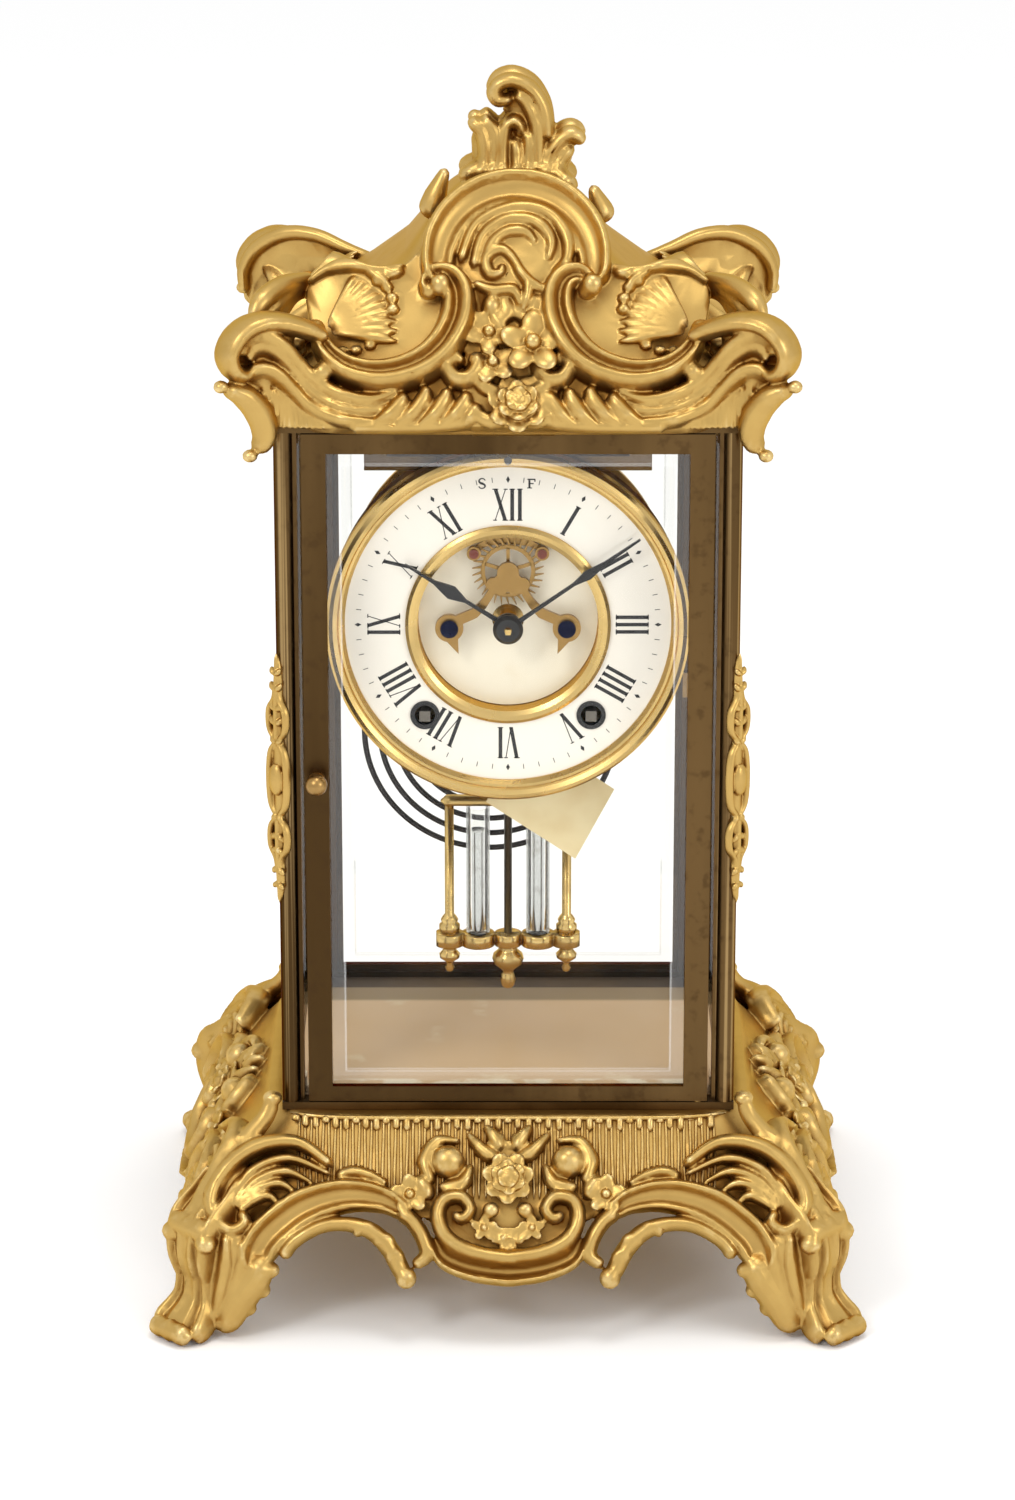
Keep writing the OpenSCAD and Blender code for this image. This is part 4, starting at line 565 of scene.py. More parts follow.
class Clay:
    """Closed forms that are gathered and then cast into one mesh."""

    def __init__(self):
        self.verts = []
        self.faces = []
        self.count = 0

    def add(self, verts, faces):
        self.faces += [tuple(i + self.count for i in f) for f in faces]
        self.verts.append(np.asarray(verts, float))
        self.count += len(verts)

    def skin(self, rings, wrap=False):
        """Skin through rings of equally many points, with capped ends or as a closed loop of rings."""
        n, k = rings.shape[:2]
        faces = []
        for i in range(n if wrap else n - 1):
            j = (i + 1) % n
            faces += [(i * k + m, j * k + m, j * k + (m + 1) % k, i * k + (m + 1) % k) for m in range(k)]
        if not wrap:
            faces += [tuple(range(k)), tuple((n - 1) * k + m for m in reversed(range(k)))]
        self.add(rings.reshape(-1, 3), faces)

    def sweep(self, path, out, half_w, half_h, profile=ROUND):
        """A form drawn along a path, with rounded ends."""
        tangent = unit(np.gradient(path, axis=0) + 1e-9)
        side = unit(np.cross(tangent, np.broadcast_to(out, path.shape)))
        up = np.cross(side, tangent)
        w = along(half_w, len(path))
        h = along(half_h, len(path))
        way = np.concatenate([[0], np.cumsum(np.linalg.norm(np.diff(path, axis=0), axis=1))])
        for run, reach in ((way, w[0]), (way[-1] - way, w[-1])):
            near = np.clip(run / min(reach, way[-1] / 3), 0.02, 1)
            w = w * np.sqrt(near * (2 - near))
            h = h * np.sqrt(near * (2 - near))
        across = side[:, None] * profile[None, :, :1] * w[:, None, None]
        raised = up[:, None] * profile[None, :, 1:] * h[:, None, None]
        self.skin(path[:, None] + across + raised)

    def sheet(self, lines, out, thickness):
        """A wall between lines of equally many points, its back set in by the thickness."""
        front = np.array(lines)
        back = front[::-1] - unit(out) * thickness
        self.skin(np.concatenate([front, back]).transpose(1, 0, 2))

    def ball(self, at, radii, axes=np.eye(3)):
        lat = np.linspace(0, math.pi, 9)[1:-1]
        lon = np.arange(14) * 2 * math.pi / 14
        rings = []
        for p in lat:
            rings.append([(math.sin(p) * math.cos(q), math.sin(p) * math.sin(q), math.cos(p)) for q in lon])
        self.skin(np.asarray(at) + (np.array(rings) * radii) @ np.asarray(axes))

    def petal(self, at, n, d, lean, radii):
        """A flat lobe that points along d and leans toward n."""
        across = np.cross(n, d)
        tip = unit(d + lean * n)
        self.ball(at, radii, (tip, across, np.cross(tip, across)))

    def leaf(self, path, out, width, height, lobes=4, reach=0.8):
        """A spine with pairs of full lobes that curl forward."""
        n = len(path)
        tangent = unit(np.gradient(path, axis=0) + 1e-9)
        out = unit(out)
        side = unit(np.cross(tangent, np.broadcast_to(out, path.shape)))
        self.sweep(path, out, [width * 0.34, width * 0.32, width * 0.14], [height, height, height * 0.5])
        for t in np.linspace(0.05, 0.80, lobes):
            i = int(t * (n - 1))
            size = width * (0.6 + 0.4 * math.sin(math.pi * (0.25 + 0.7 * t)))
            for hand in (-1, 1):
                s = np.linspace(0, 1, 7)[:, None]
                aside = side[i] * hand * size * 0.8 * (1.0 - (1 - s) ** 1.6)
                lobe = path[i] + aside + tangent[i] * size * reach * s**1.7
                lobe = lobe + out * height * 0.3 * np.sin(math.pi * s)
                wide = [size * 0.30, size * 0.36, size * 0.16]
                self.sweep(lobe, out, wide, [height * 0.8, height * 0.8, height * 0.3])

    def flower(self, at, out, radius, petals=5, turn=0.0):
        n, u, v = facing(out)
        for i in range(petals):
            a = 2 * math.pi * i / petals + turn
            d = u * math.cos(a) + v * math.sin(a)
            self.petal(at + d * radius * 0.58, n, d, 0.3, (radius * 0.45, radius * 0.36, radius * 0.16))
        self.ball(at + n * radius * 0.16, (radius * 0.24,) * 3)

    def rose(self, at, out, radius):
        n, u, v = facing(out)
        rows = (
            (7, 0.68, 0.36, 0.0, 0.35, 0.2),
            (6, 0.46, 0.30, 0.2, 0.9, 0.6),
            (5, 0.27, 0.24, 0.36, 1.6, 0.1),
            (3, 0.1, 0.15, 0.44, 3.0, 0.5),
        )
        for count, reach, size, rise, lean, turn in rows:
            for i in range(count):
                a = 2 * math.pi * i / count + turn
                d = u * math.cos(a) + v * math.sin(a)
                centre = at + d * radius * reach + n * radius * rise
                self.petal(centre, n, d, lean, (radius * size, radius * size * 0.95, radius * 0.11))
        self.ball(at, (radius * 0.5,) * 3)

    def shell(self, at, u, v, out, radius, start, end, ribs, height):
        """A fan of ribs from one point."""
        u, v, out = unit(u), unit(v), unit(out)
        for a in np.radians(np.linspace(start, end, ribs)):
            d = u * math.cos(a) + v * math.sin(a)
            s = np.linspace(0.12, 1, 8)[:, None]
            path = np.asarray(at) + d * radius * s + out * height * 0.5 * np.sin(math.pi * s)
            rib = radius * math.radians(abs(end - start)) / max(ribs - 1, 1) * 0.5
            wide = [rib * 0.25, rib * 0.55, rib * 0.85, rib * 0.75]
            self.sweep(path, out, wide, [height * 0.6, height, height, height * 0.5])

    def copy(self, x, y):
        """A copy of everything so far, mirrored or turned by the signs x and y."""
        verts = np.vstack(self.verts) * (x, y, 1)
        self.add(verts, [tuple(f) for f in self.faces])

    def cast(self, name, grain=None, keep=None, smooth=2):
        """One mesh object of it all; with a grain the forms flow into each other."""
        mesh = bpy.data.meshes.new(name)
        mesh.from_pydata(np.vstack(self.verts) * MM, [], self.faces)
        work = bmesh.new()
        work.from_mesh(mesh)
        bmesh.ops.recalc_face_normals(work, faces=work.faces)
        work.to_mesh(mesh)
        work.free()
        obj = bpy.data.objects.new(name, mesh)
        bpy.context.scene.collection.objects.link(obj)
        if grain:
            remesh = obj.modifiers.new("Cast", "REMESH")
            remesh.mode = "VOXEL"
            remesh.voxel_size = grain
            settle(obj)
            soften = obj.modifiers.new("Soften", "SMOOTH")
            soften.factor = 0.5
            soften.iterations = smooth
            thin = obj.modifiers.new("Thin", "DECIMATE")
            thin.ratio = min(1.0, keep / (2 * len(obj.data.polygons)))
            settle(obj)
        obj.data.polygons.foreach_set("use_smooth", [True] * len(obj.data.polygons))
        return obj


def settle(obj):
    """Applies the modifiers of an object."""
    ready = obj.evaluated_get(bpy.context.evaluated_depsgraph_get())
    mesh = bpy.data.meshes.new_from_object(ready)
    obj.modifiers.clear()
    obj.data = mesh


def dress(obj, finish, body, slot, *nodes):
    """Gives a piece its finish and its body, and hides the nodes that it stands for; the slot is not used."""
    obj.data.materials.clear()
    obj.data.materials.append(finish)
    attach(obj, body)
    if nodes:
        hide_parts(*nodes)
    return obj


# castings

CROWN = Wall(
    [(286.6, 74, 58.5), (289.1, 75.5, 60), (292.1, 75, 59.5), (297.1, 71.5, 56.5), (305.1, 66.5, 53)]
    + [(314.1, 59, 48.5), (324.1, 44, 42.5), (334.1, 32, 31), (344.1, 24.5, 21.5)]
    + [(352.1, 17.5, 13), (358.1, 8, 6)],
    6,
)
BASE = Wall(
    [(14, 104, 90), (24, 102, 87), (34, 98, 83), (44, 93, 77.5), (52, 87.5, 72), (58, 82.5, 66.5)]
    + [(62, 79, 63), (65.5, 77, 61.2)],
    7,
)
SLOPE = np.array((0, -0.8, 0.6))
FLARE = np.array((0, -0.85, 0.5))
EAR_OUT = np.array((0.438, -0.899, 0.15))
HIP_OUT = unit((-0.35, -0.75, 0.55))
RIB_OUT = unit((-0.6, -0.65, 0.45))
LEAF_OUT = unit((0.25, -0.97, 0))
LEG_OUT = unit((0.1, -0.99, 0))
CROWN_MIDDLE = 514


def ear_depth(x, z):
    """Plane of a front ear."""
    return -(56 + (abs(x) - 71.5) * 0.49) - 2.0


def crown_face(x, z):
    """Front face of the crown, carried on past its corners and over the roof."""
    return -np.interp(z, (CASE_TOP, 314, 354), (60, 48.5, 24))


def shoulder(x, z):
    """Front face of the crown that runs over into the ears."""
    t = np.clip((abs(x) - 50) / 18, 0, 1)
    return (1 - t) * crown_face(x, z) + t * ear_depth(x, z)


def hip(x, z):
    """Leaf on a corner of the roof, behind a front ear."""
    return -20 - (abs(x) - 56) * 1.4


def rear_plate(x, z):
    """Inner side of a rear ear, as it is seen over the roof."""
    return 38 + (abs(x) - 40) * 0.35


def finial_face(x, z):
    """Front of the finial, which spreads on the roof."""
    return -max(5.0, CROWN.half(z)[1] - 1.0)


def base_face(x, z):
    """Front face of the base, carried on past its corners."""
    return -BASE.half(z)[1] + 4 * np.clip((abs(x) - 70) / 25, 0, 1)


def at_depth(y):
    """An upright surface at one depth."""
    return lambda x, z: y


CREST_TIPS = at_depth(-16.0)
FINIAL_CORE = at_depth(0.0)
LEG_LEAF = at_depth(-85.0)
LEG_WEB = at_depth(-83.0)
LEG_FLUTES = at_depth(-86.5)
LEG_BEADS = at_depth(-86.0)


def spot(u, v, depth, lift):
    """One place of the front view on the surface that depth gives."""
    return trace([(u, v), (u + 1, v)], depth, lift)[0]


def flames(clay, strokes, depth, out, lift, width, height):
    """Tapered tongues of an acanthus leaf, each drawn in the front view."""
    wide = [width * 0.55, width, width * 0.85, width * 0.35]
    tall = [height * 0.8, height, height, height * 0.4]
    for points in strokes:
        clay.sweep(trace(points, depth, lift), out, wide, tall)


def crown_ear(clay):
    """Ear and tusk of the front left corner."""
    rim = [(322, 337), (301, 328), (273, 322), (250, 325), (234, 337), (226, 354), (230, 369)]
    rim += [(241, 375), (251, 368)]
    rim_wide = [2.6, 3.2, 3.4, 3.5, 3.5, 3.3, 2.8, 2.4, 1.8]
    clay.sweep(trace(rim, ear_depth), EAR_OUT, rim_wide, [7.5, 8, 8, 7, 5])
    backing = [(251, 362), (247, 350), (256, 342), (272, 341), (290, 352)]
    clay.sweep(trace(backing, ear_depth, -4), EAR_OUT, 6.5, 5)
    ear_heart = (256, 372)
    clay.ball(spot(*ear_heart, ear_depth, -2), (6, 4, 6))
    tusk = [(224, 388), (243, 396), (259, 414), (264, 435), (256, 453)]
    clay.sweep(trace(tusk, ear_depth, 0.5), EAR_OUT, [2.2, 3.8, 4.5, 4.0, 2.6], [4, 5.5, 5.5, 4.5, 3])
    tusk_ends = ((221, 387), (250, 456))
    for u, v in tusk_ends:
        clay.ball(spot(u, v, ear_depth, 1.5), (2.4, 2.4, 2.0))
    tops = np.linspace((262, 379), (320, 416), 11)
    feet = np.linspace((267, 429), (324, 429), 11)
    for top, low in zip(tops, feet):
        middle = (top + low) / 2 + (1.5, 0)
        clay.sweep(trace([top, middle, low], shoulder, 0.5), SLOPE, [0.6, 0.9, 0.7], 1.6)


def crown_bands(clay):
    """Left half of the crown's lower edge: three rolls that come out of the ear, curl and acanthus."""
    ground = [
        trace([(262, 345), (290, 366), (316, 388), (346, 402), (400, 398)], shoulder, -1),
        trace([(262, 372), (284, 386), (312, 409), (346, 420), (400, 420)], shoulder, -1),
    ]
    clay.sheet(ground, SLOPE, 6)
    upper = [(243, 356), (247, 343), (261, 338), (279, 347), (295, 363), (316, 383), (342, 397)]
    upper += [(372, 402), (400, 394)]
    upper_wide = [2.0, 2.4, 2.7, 2.8, 2.8, 2.6, 2.3, 2.0, 1.2]
    clay.sweep(trace(upper, shoulder, 1.5), SLOPE, upper_wide, [5, 5.5, 5, 4])
    middle = [(250, 362), (255, 353), (265, 350), (280, 360), (294, 376), (314, 396), (342, 410)]
    middle += [(374, 413), (404, 402)]
    middle_wide = [1.2, 1.5, 1.8, 1.9, 1.9, 1.8, 1.6, 1.4, 1.0]
    clay.sweep(trace(middle, shoulder, 0.8), SLOPE, middle_wide, [4, 4.5, 4, 3])
    lower = [(246, 376), (262, 372), (276, 377), (292, 391), (312, 409), (342, 421), (378, 424)]
    clay.sweep(trace(lower, shoulder, 1), SLOPE, [2.2, 2.3, 2.4, 2.4, 2.2, 2.0, 1.2], [5, 5, 4.5, 3])
    curl = [(474, 354), (477, 368), (468, 380), (455, 380), (448, 369), (455, 360), (463, 366)]
    clay.sweep(trace(curl, crown_face, 3), SLOPE, [2.2, 2.8, 2.8, 2.6, 2.2, 1.6], [4, 5, 5.5, 4])
    tongues = (
        [(405, 393), (400, 405), (388, 417), (372, 425)],
        [(427, 386), (423, 401), (411, 416), (394, 426)],
        [(448, 388), (444, 402), (434, 416), (418, 427)],
        [(467, 392), (464, 404), (455, 416), (440, 427)],
        [(478, 404), (473, 416), (463, 427)],
    )
    flames(clay, tongues, crown_face, SLOPE, 2.5, 2.9, 4.2)
    edge = [(476, 424), (436, 428), (400, 429), (350, 429)]
    clay.sweep(trace(edge, crown_face, 1), SLOPE, 1.5, 3)


def crown_scroll(clay):
    """Left half of the crown's face: the C-scroll and the shell inside it."""
    scroll = [(433, 297), (427, 286), (436, 277), (450, 281), (458, 297), (456, 322), (442, 348)]
    scroll += [(418, 367), (384, 376)]
    scroll += [(352, 371), (331, 357), (320, 340), (320, 328)]
    wide = [1.8, 2.4, 3.2, 4.2, 5.0, 5.6, 5.8, 5.6, 5.2, 4.4, 3.6, 2.8, 2.2]
    clay.sweep(trace(scroll, crown_face, 2.5), SLOPE, wide, [4, 5, 7, 8, 8, 7, 6, 5], TWO_ROLLS)
    knobs = ((315, 330, 3.4), (323, 371, 3.0), (429, 291, 2.8))
    for u, v, r in knobs:
        clay.ball(spot(u, v, crown_face, 4), (r, r, r))
    shell_foot = (322, 334)
    clay.shell(spot(*shell_foot, crown_face, 0.4), (1, 0, 0), (0, 0.6, 0.8), SLOPE, 23, -6, 62, 9, 1.8)
    shell_beads = ((342, 350), (356, 350), (370, 345), (381, 337))
    for u, v in shell_beads:
        clay.ball(spot(u, v, crown_face, 0.8), (1.9, 1.6, 1.4))


def pediment_face(x, z):
    """Front face of the crown that turns back at the corners of the roof."""
    return crown_face(x, z) + 0.4 * max(0.0, abs(x) - 46)


def pediment(clay):
    """Left half of the roof's front: its surface up to the crest, with leaves on crest and corner."""
    crest = [(306, 300), (309, 284), (322, 272), (345, 267), (375, 269), (402, 265), (420, 247), (430, 215)]
    foot = [(312, 340), (320, 352), (338, 366), (360, 374), (392, 376), (425, 362), (450, 335), (462, 300)]
    top = trace(crest, pediment_face)
    low = trace(foot, pediment_face)
    clay.sheet([top, (top + low) / 2, low], SLOPE, 9)
    spray = (
        [(308, 283), (328, 270), (354, 267), (380, 270), (405, 265)],
        [(316, 275), (340, 264), (362, 267), (378, 276)],
        [(366, 271), (382, 280), (390, 292)],
        [(384, 272), (394, 274), (404, 270)],
    )
    flames(clay, spray, pediment_face, SLOPE, 0.8, 1.7, 2.4)
    crest_beads = ((378, 281), (387, 287), (392, 298), (393, 309))
    for u, v in crest_beads:
        clay.ball(spot(u, v, pediment_face, 1.0), (1.9, 1.6, 1.7))
    for shift, wide in ((0, 3.4), (11, 3.0), (20, 2.4)):
        drop = shift / 2
        leaf = [(254 + shift, 322), (262 + shift, 301 + drop), (283 + drop, 286 + drop), (310, 280 + drop)]
        clay.sweep(trace(leaf, hip), HIP_OUT, [wide * 0.6, wide, wide, wide * 0.7], [3, 3.4, 3.4, 3])


def rear_ear(clay):
    """Smooth inner side of the rear left ear, which sweeps down to the roof."""
    crest = [(244, 292), (244, 268), (257, 247), (285, 233), (316, 235), (346, 248), (376, 259)]
    foot = [(256, 318), (264, 300), (280, 288), (304, 282), (332, 280), (356, 278), (380, 274)]
    top = trace(crest, rear_plate)
    low = trace(foot, rear_plate)
    out = np.array((0, -0.95, 0.3))
    clay.sheet([top, (top + low) / 2 - out * 2, low], out, 4)
    clay.sweep(top, out, [1.6, 2.2, 2.4, 2.4, 2.2, 2.0, 1.4], 3)


def crown_middle(clay):
    """Leaves, flowers and shield in the middle of the crown's front."""
    pad = []
    for v, half in ((292, 44), (345, 50), (427, 42)):
        row = [(CROWN_MIDDLE + k * half, v) for k in (-1, -0.5, 0, 0.5, 1)]
        pad.append(trace(row, crown_face, 3.2))
    clay.sheet(pad, SLOPE, 8)
    leaves = (
        [(505, 424), (486, 420), (472, 408)],
        [(500, 392), (484, 387), (476, 376)],
        [(505, 332), (497, 320), (488, 312)],
        [(508, 322), (507, 306), (500, 292)],
    )
    for hand in (-1, 1):
        spread = [[(CROWN_MIDDLE + hand * (u - CROWN_MIDDLE), v) for u, v in leaf] for leaf in leaves]
        flames(clay, spread, crown_face, SLOPE, 4, 2.4, 2.6)
    flowers = ((533, 343, 10.4, 0.3, 7.6), (489, 332, 7.6, 0.9, 5.4), (493, 362, 7.4, 0.5, 5.4))
    for u, v, r, turn, lift in flowers:
        clay.flower(spot(u, v, crown_face, lift), SLOPE, r, 5, turn)
    buds = ((492, 307), (535, 306))
    for u, v in buds:
        clay.ball(spot(u, v, crown_face, 4.5), (3.0, 3.2, 3.8))
    rose_at = (518, 404)
    clay.rose(spot(*rose_at, crown_face, 5.5), SLOPE, 9.6)
    lean = math.radians(58)
    u, v, n = np.array(((1, 0, 0), (0, math.cos(lean), math.sin(lean)), (0, -math.sin(lean), math.cos(lean))))
    centre = np.array((2.5, -40.0, 335.7))

    def on_shield(points, lift):
        flat = spline(points)
        fall = (flat**2).sum(1) / 20.0**2 * 2.0
        return centre + flat[:, :1] * u + flat[:, 1:] * v + n * (lift + 2.0 - fall)[:, None]

    clay.ball(centre + v * 2 - n * 6.8, (24, 23, 9.5), (u, v, n))
    turns = np.radians(np.linspace(196, -16, 26))
    rim_radius = 23.6
    rim = centre + np.array([rim_radius * math.cos(a) * u + rim_radius * math.sin(a) * v for a in turns]) - n
    clay.sweep(spline(rim, 4), n, [4.4, 6.0, 6.3, 6.3, 6.3, 6.0, 4.4], [5, 6, 6, 6, 5], MOULDING)
    for hand in (-1, 1):
        clay.ball(centre + hand * u * 23.0 - v * 7.5 + n * 1.5, (3.2, 3.0, 3.6))
    waves = (
        ([(-17, 0), (-12, 12), (-1, 17.4), (9, 16), (15, 9), (15.5, 1), (11, -4)], 2.4),
        ([(-13, -2), (-10, 8), (-2.5, 13.4), (5.7, 12.6), (10.5, 7), (9.7, 0)], 2.3),
        ([(-10, -4), (-8, 4), (-3.4, 8.8), (2.5, 9.2), (6, 5.6)], 2.1),
        ([(2, -6), (-0.6, -0.2), (-4.6, 3.4), (-9, 0.6), (-8, -4.2), (-4.6, -3.8), (-4.4, -1.2)], 1.9),
        ([(-1, 1), (1.7, -4.4), (5.7, -8), (10.5, -9.4)], 1.9),
        ([(-13, -7), (-7, -9.5), (-1, -9.4), (1.4, -14)], 2.0),
        ([(3, -5.5), (3.6, -10.5), (1.8, -16)], 1.8),
    )
    for points, wide in waves:
        halves = [wide * 0.55, wide * 0.9, wide * 0.95, wide * 0.4]
        clay.sweep(on_shield(points, 0.1), n, halves, [2.4, 3.0, 3.0, 1.6])
    tips = ([(428, 218), (436, 194), (446, 168)], [(606, 222), (600, 206), (592, 185)])
    for points in tips:
        clay.sweep(trace(points, CREST_TIPS), (0, -1, 0.2), [4.5, 3.6, 1.4], [5, 4, 2])


def finial(clay):
    """Leaf scroll on top of the crown: flutes side by side, with the same outline on the back."""
    head = [(547, 140), (546, 120), (542, 104), (531, 88), (514, 80), (500, 83), (494, 92)]
    head += [(498, 100), (506, 99), (509, 93)]
    flutes = (
        (head, 2.6),
        ([(537, 182), (538, 136), (534, 116), (526, 101), (514, 92)], 2.6),
        ([(527, 182), (530, 150), (527, 128)], 2.6),
        ([(504, 182), (503, 146), (506, 126), (515, 121), (521, 128), (518, 136)], 2.2),
        ([(515, 182), (517, 154), (513, 136)], 2.4),
        ([(476, 182), (486, 158), (483, 133), (475, 123), (472, 116)], 2.6),
        ([(490, 182), (496, 156), (495, 133), (488, 122), (481, 116)], 2.4),
        ([(546, 184), (550, 156), (560, 140), (570, 134), (578, 137), (575, 144)], 3.0),
        ([(556, 186), (558, 164), (566, 152), (574, 147)], 2.6),
        ([(460, 178), (473, 170), (482, 160)], 2.8),
        ([(574, 190), (564, 178), (556, 166)], 2.8),
    )
    out = np.array((0, -1, 0.15))
    for points, wide in flutes:
        path = trace(points, finial_face)
        for hand in (1, -1):
            halves = [wide, wide, wide * 0.95, wide * 0.7]
            clay.sweep(path * (1, hand, 1), out * (1, hand, 1), halves, [5, 5, 4.5, 3.4])
    core = (
        ([(518, 176), (520, 150), (526, 126), (524, 106), (512, 94), (504, 92)], [17, 13, 8, 6.5, 5.5, 3]),
        ([(492, 168), (487, 146), (479, 126)], [6, 5, 3]),
        ([(545, 172), (558, 152), (570, 141)], [6, 5, 3.6]),
    )
    for points, wide in core:
        clay.sweep(trace(points, FINIAL_CORE), (0, -1, 0), wide, [6.5, 6, 5.5, 5])


def base_front(clay):
    """Left half of an apron of the base: arch, strands, acanthus scroll, fruit and half the cartouche."""
    arch = [(255, 1272), (258, 1252), (272, 1232), (304, 1208), (345, 1196), (382, 1200), (408, 1215)]
    arch_wide = [4.6, 6.0, 6.2, 6.0, 5.2, 4.0, 2.4]
    clay.sweep(trace(arch, BASE.front, 0.5), FLARE, arch_wide, [6.5, 7, 7, 6, 4.5], MOULDING)
    inner = [(282, 1258), (294, 1242), (320, 1227), (346, 1224), (371, 1231), (389, 1248)]
    inner += [(398, 1264), (405, 1279)]
    clay.sweep(trace(inner, BASE.front, 0), FLARE, [2.4, 2.2, 2.2, 2.4, 2.8, 3.0, 3.0, 2.8], [5, 5, 5, 4])
    hooks = (
        [(354, 1236), (366, 1226), (381, 1233)],
        [(374, 1245), (386, 1238), (397, 1249)],
        [(386, 1260), (397, 1254), (405, 1266)],
    )
    flames(clay, hooks, BASE.front, FLARE, 1, 2.0, 4)
    slot_rim = [(398, 1211), (413, 1222), (424, 1240), (426, 1256), (413, 1266)]
    clay.sweep(trace(slot_rim, BASE.front, 0.5), FLARE, [2.6, 2.6, 2.6, 2.4, 1.8], [5, 5, 4])
    inner_end = (406, 1278)
    clay.ball(spot(*inner_end, BASE.front, 2), (3.4, 3.2, 3.6))
    scroll = [(333, 1166), (298, 1143), (260, 1146), (231, 1165), (213, 1194), (215, 1218)]
    scroll += [(231, 1231), (245, 1223), (240, 1212)]
    scroll_wide = [1.6, 2.4, 2.9, 3.0, 3.0, 2.8, 2.4, 2.0, 1.8]
    clay.sweep(trace(scroll, base_face, 3), FLARE, scroll_wide, [4, 6, 6.5, 6, 5])
    tongues = (
        [(230, 1204), (252, 1172), (290, 1159), (332, 1175)],
        [(233, 1207), (256, 1182), (286, 1172), (314, 1184)],
        [(236, 1209), (258, 1190), (280, 1184), (299, 1195)],
        [(239, 1212), (258, 1199), (270, 1197), (281, 1206)],
    )
    flames(clay, tongues, base_face, FLARE, 2, 1.9, 4.4)
    stem = [(336, 1178), (352, 1172), (370, 1176), (388, 1185)]
    clay.sweep(trace(stem, BASE.front, 0.8), FLARE, [1.8, 2.2, 2.0, 1.0], 3.5)
    basin = [(522, 1258), (508, 1258), (472, 1252), (447, 1238), (438, 1217), (444, 1200)]
    basin += [(461, 1197), (470, 1209), (462, 1219), (453, 1213)]
    basin_wide = [2.4, 2.4, 2.7, 2.7, 2.5, 2.3, 2.3, 2.0, 1.8, 1.5]
    clay.sweep(trace(basin, BASE.front, 2.5), FLARE, basin_wide, [4.5, 5, 5, 4])
    lobe = [(434, 1238), (446, 1258), (474, 1269), (508, 1273), (526, 1272)]
    clay.sweep(trace(lobe, BASE.front, 0.5), FLARE, [2.4, 3.6, 4.0, 4.2, 4.0], [4, 5, 5], GUTTER)
    basin_flower = (484, 1228)
    clay.flower(spot(*basin_flower, BASE.front, 2.5), FLARE, 4.6, 5, 0.3)
    middle_flower = (504, 1238)
    clay.flower(spot(*middle_flower, BASE.front, 2.5), FLARE, 4.2, 5, 0.9)
    basin_bud = (491, 1210)
    clay.ball(spot(*basin_bud, BASE.front, 2.5), (2.8, 2.6, 2.6))
    fruit = (448, 1162)
    clay.ball(spot(*fruit, BASE.front, 3.5), (5.4, 4.8, 5.4))
    wraps = (
        [(432, 1184), (425, 1162), (437, 1142), (460, 1141)],
        [(438, 1188), (462, 1184), (472, 1164)],
        [(500, 1160), (484, 1152), (467, 1133)],
        [(502, 1152), (495, 1139), (485, 1125)],
        [(430, 1200), (424, 1186), (414, 1176)],
    )
    flames(clay, wraps, BASE.front, FLARE, 2, 2.6, 3.6)
    outer_flower = (410, 1194)
    clay.flower(spot(*outer_flower, BASE.front, 4), FLARE, 6.6, 5, 0.4)
    upper_flower = (500, 1147)
    clay.flower(spot(*upper_flower, BASE.front, 3), FLARE, 4.4, 5, 0.2)


def base_corner(clay):
    """Rib of the front left corner with a rolled tip over the case edge, and the leaf beside the leg."""
    rib = [(-74, -58.5, 70), (-77, -60.5, 64), (-85, -66, 56), (-93, -73, 47), (-98, -79, 38)]
    clay.sweep(spline(rib), RIB_OUT, [2.4, 3.0, 3.8, 4.2, 4.0], [3, 3.4, 3.6, 3.8])
    clay.ball((-74.5, -58.5, 70.5), (3.2, 3.0, 2.4))
    leaf = [(264, 1254), (255, 1276), (241, 1296), (229, 1317), (223, 1332)]
    clay.sweep(trace(leaf, LEG_LEAF), LEAF_OUT, [4.4, 5.4, 5.6, 4.8, 3.2], [5, 6, 6, 5, 3])
    web = [(232, 1228), (234, 1252), (230, 1278), (222, 1304), (214, 1328)]
    clay.sweep(trace(web, LEG_WEB), LEG_OUT, [5, 6, 6, 5, 4], [5, 5, 5, 4])
    flutes = (
        [(226, 1234), (226, 1262), (221, 1290), (211, 1322)],
        [(242, 1240), (241, 1264), (233, 1290), (221, 1322)],
    )
    flames(clay, flutes, LEG_FLUTES, LEG_OUT, 0, 2.4, 3)
    beads = ((271, 1270), (262, 1290), (248, 1308))
    for u, v in beads:
        clay.ball(spot(u, v, LEG_BEADS, 0), (2.8, 2.6, 2.6))


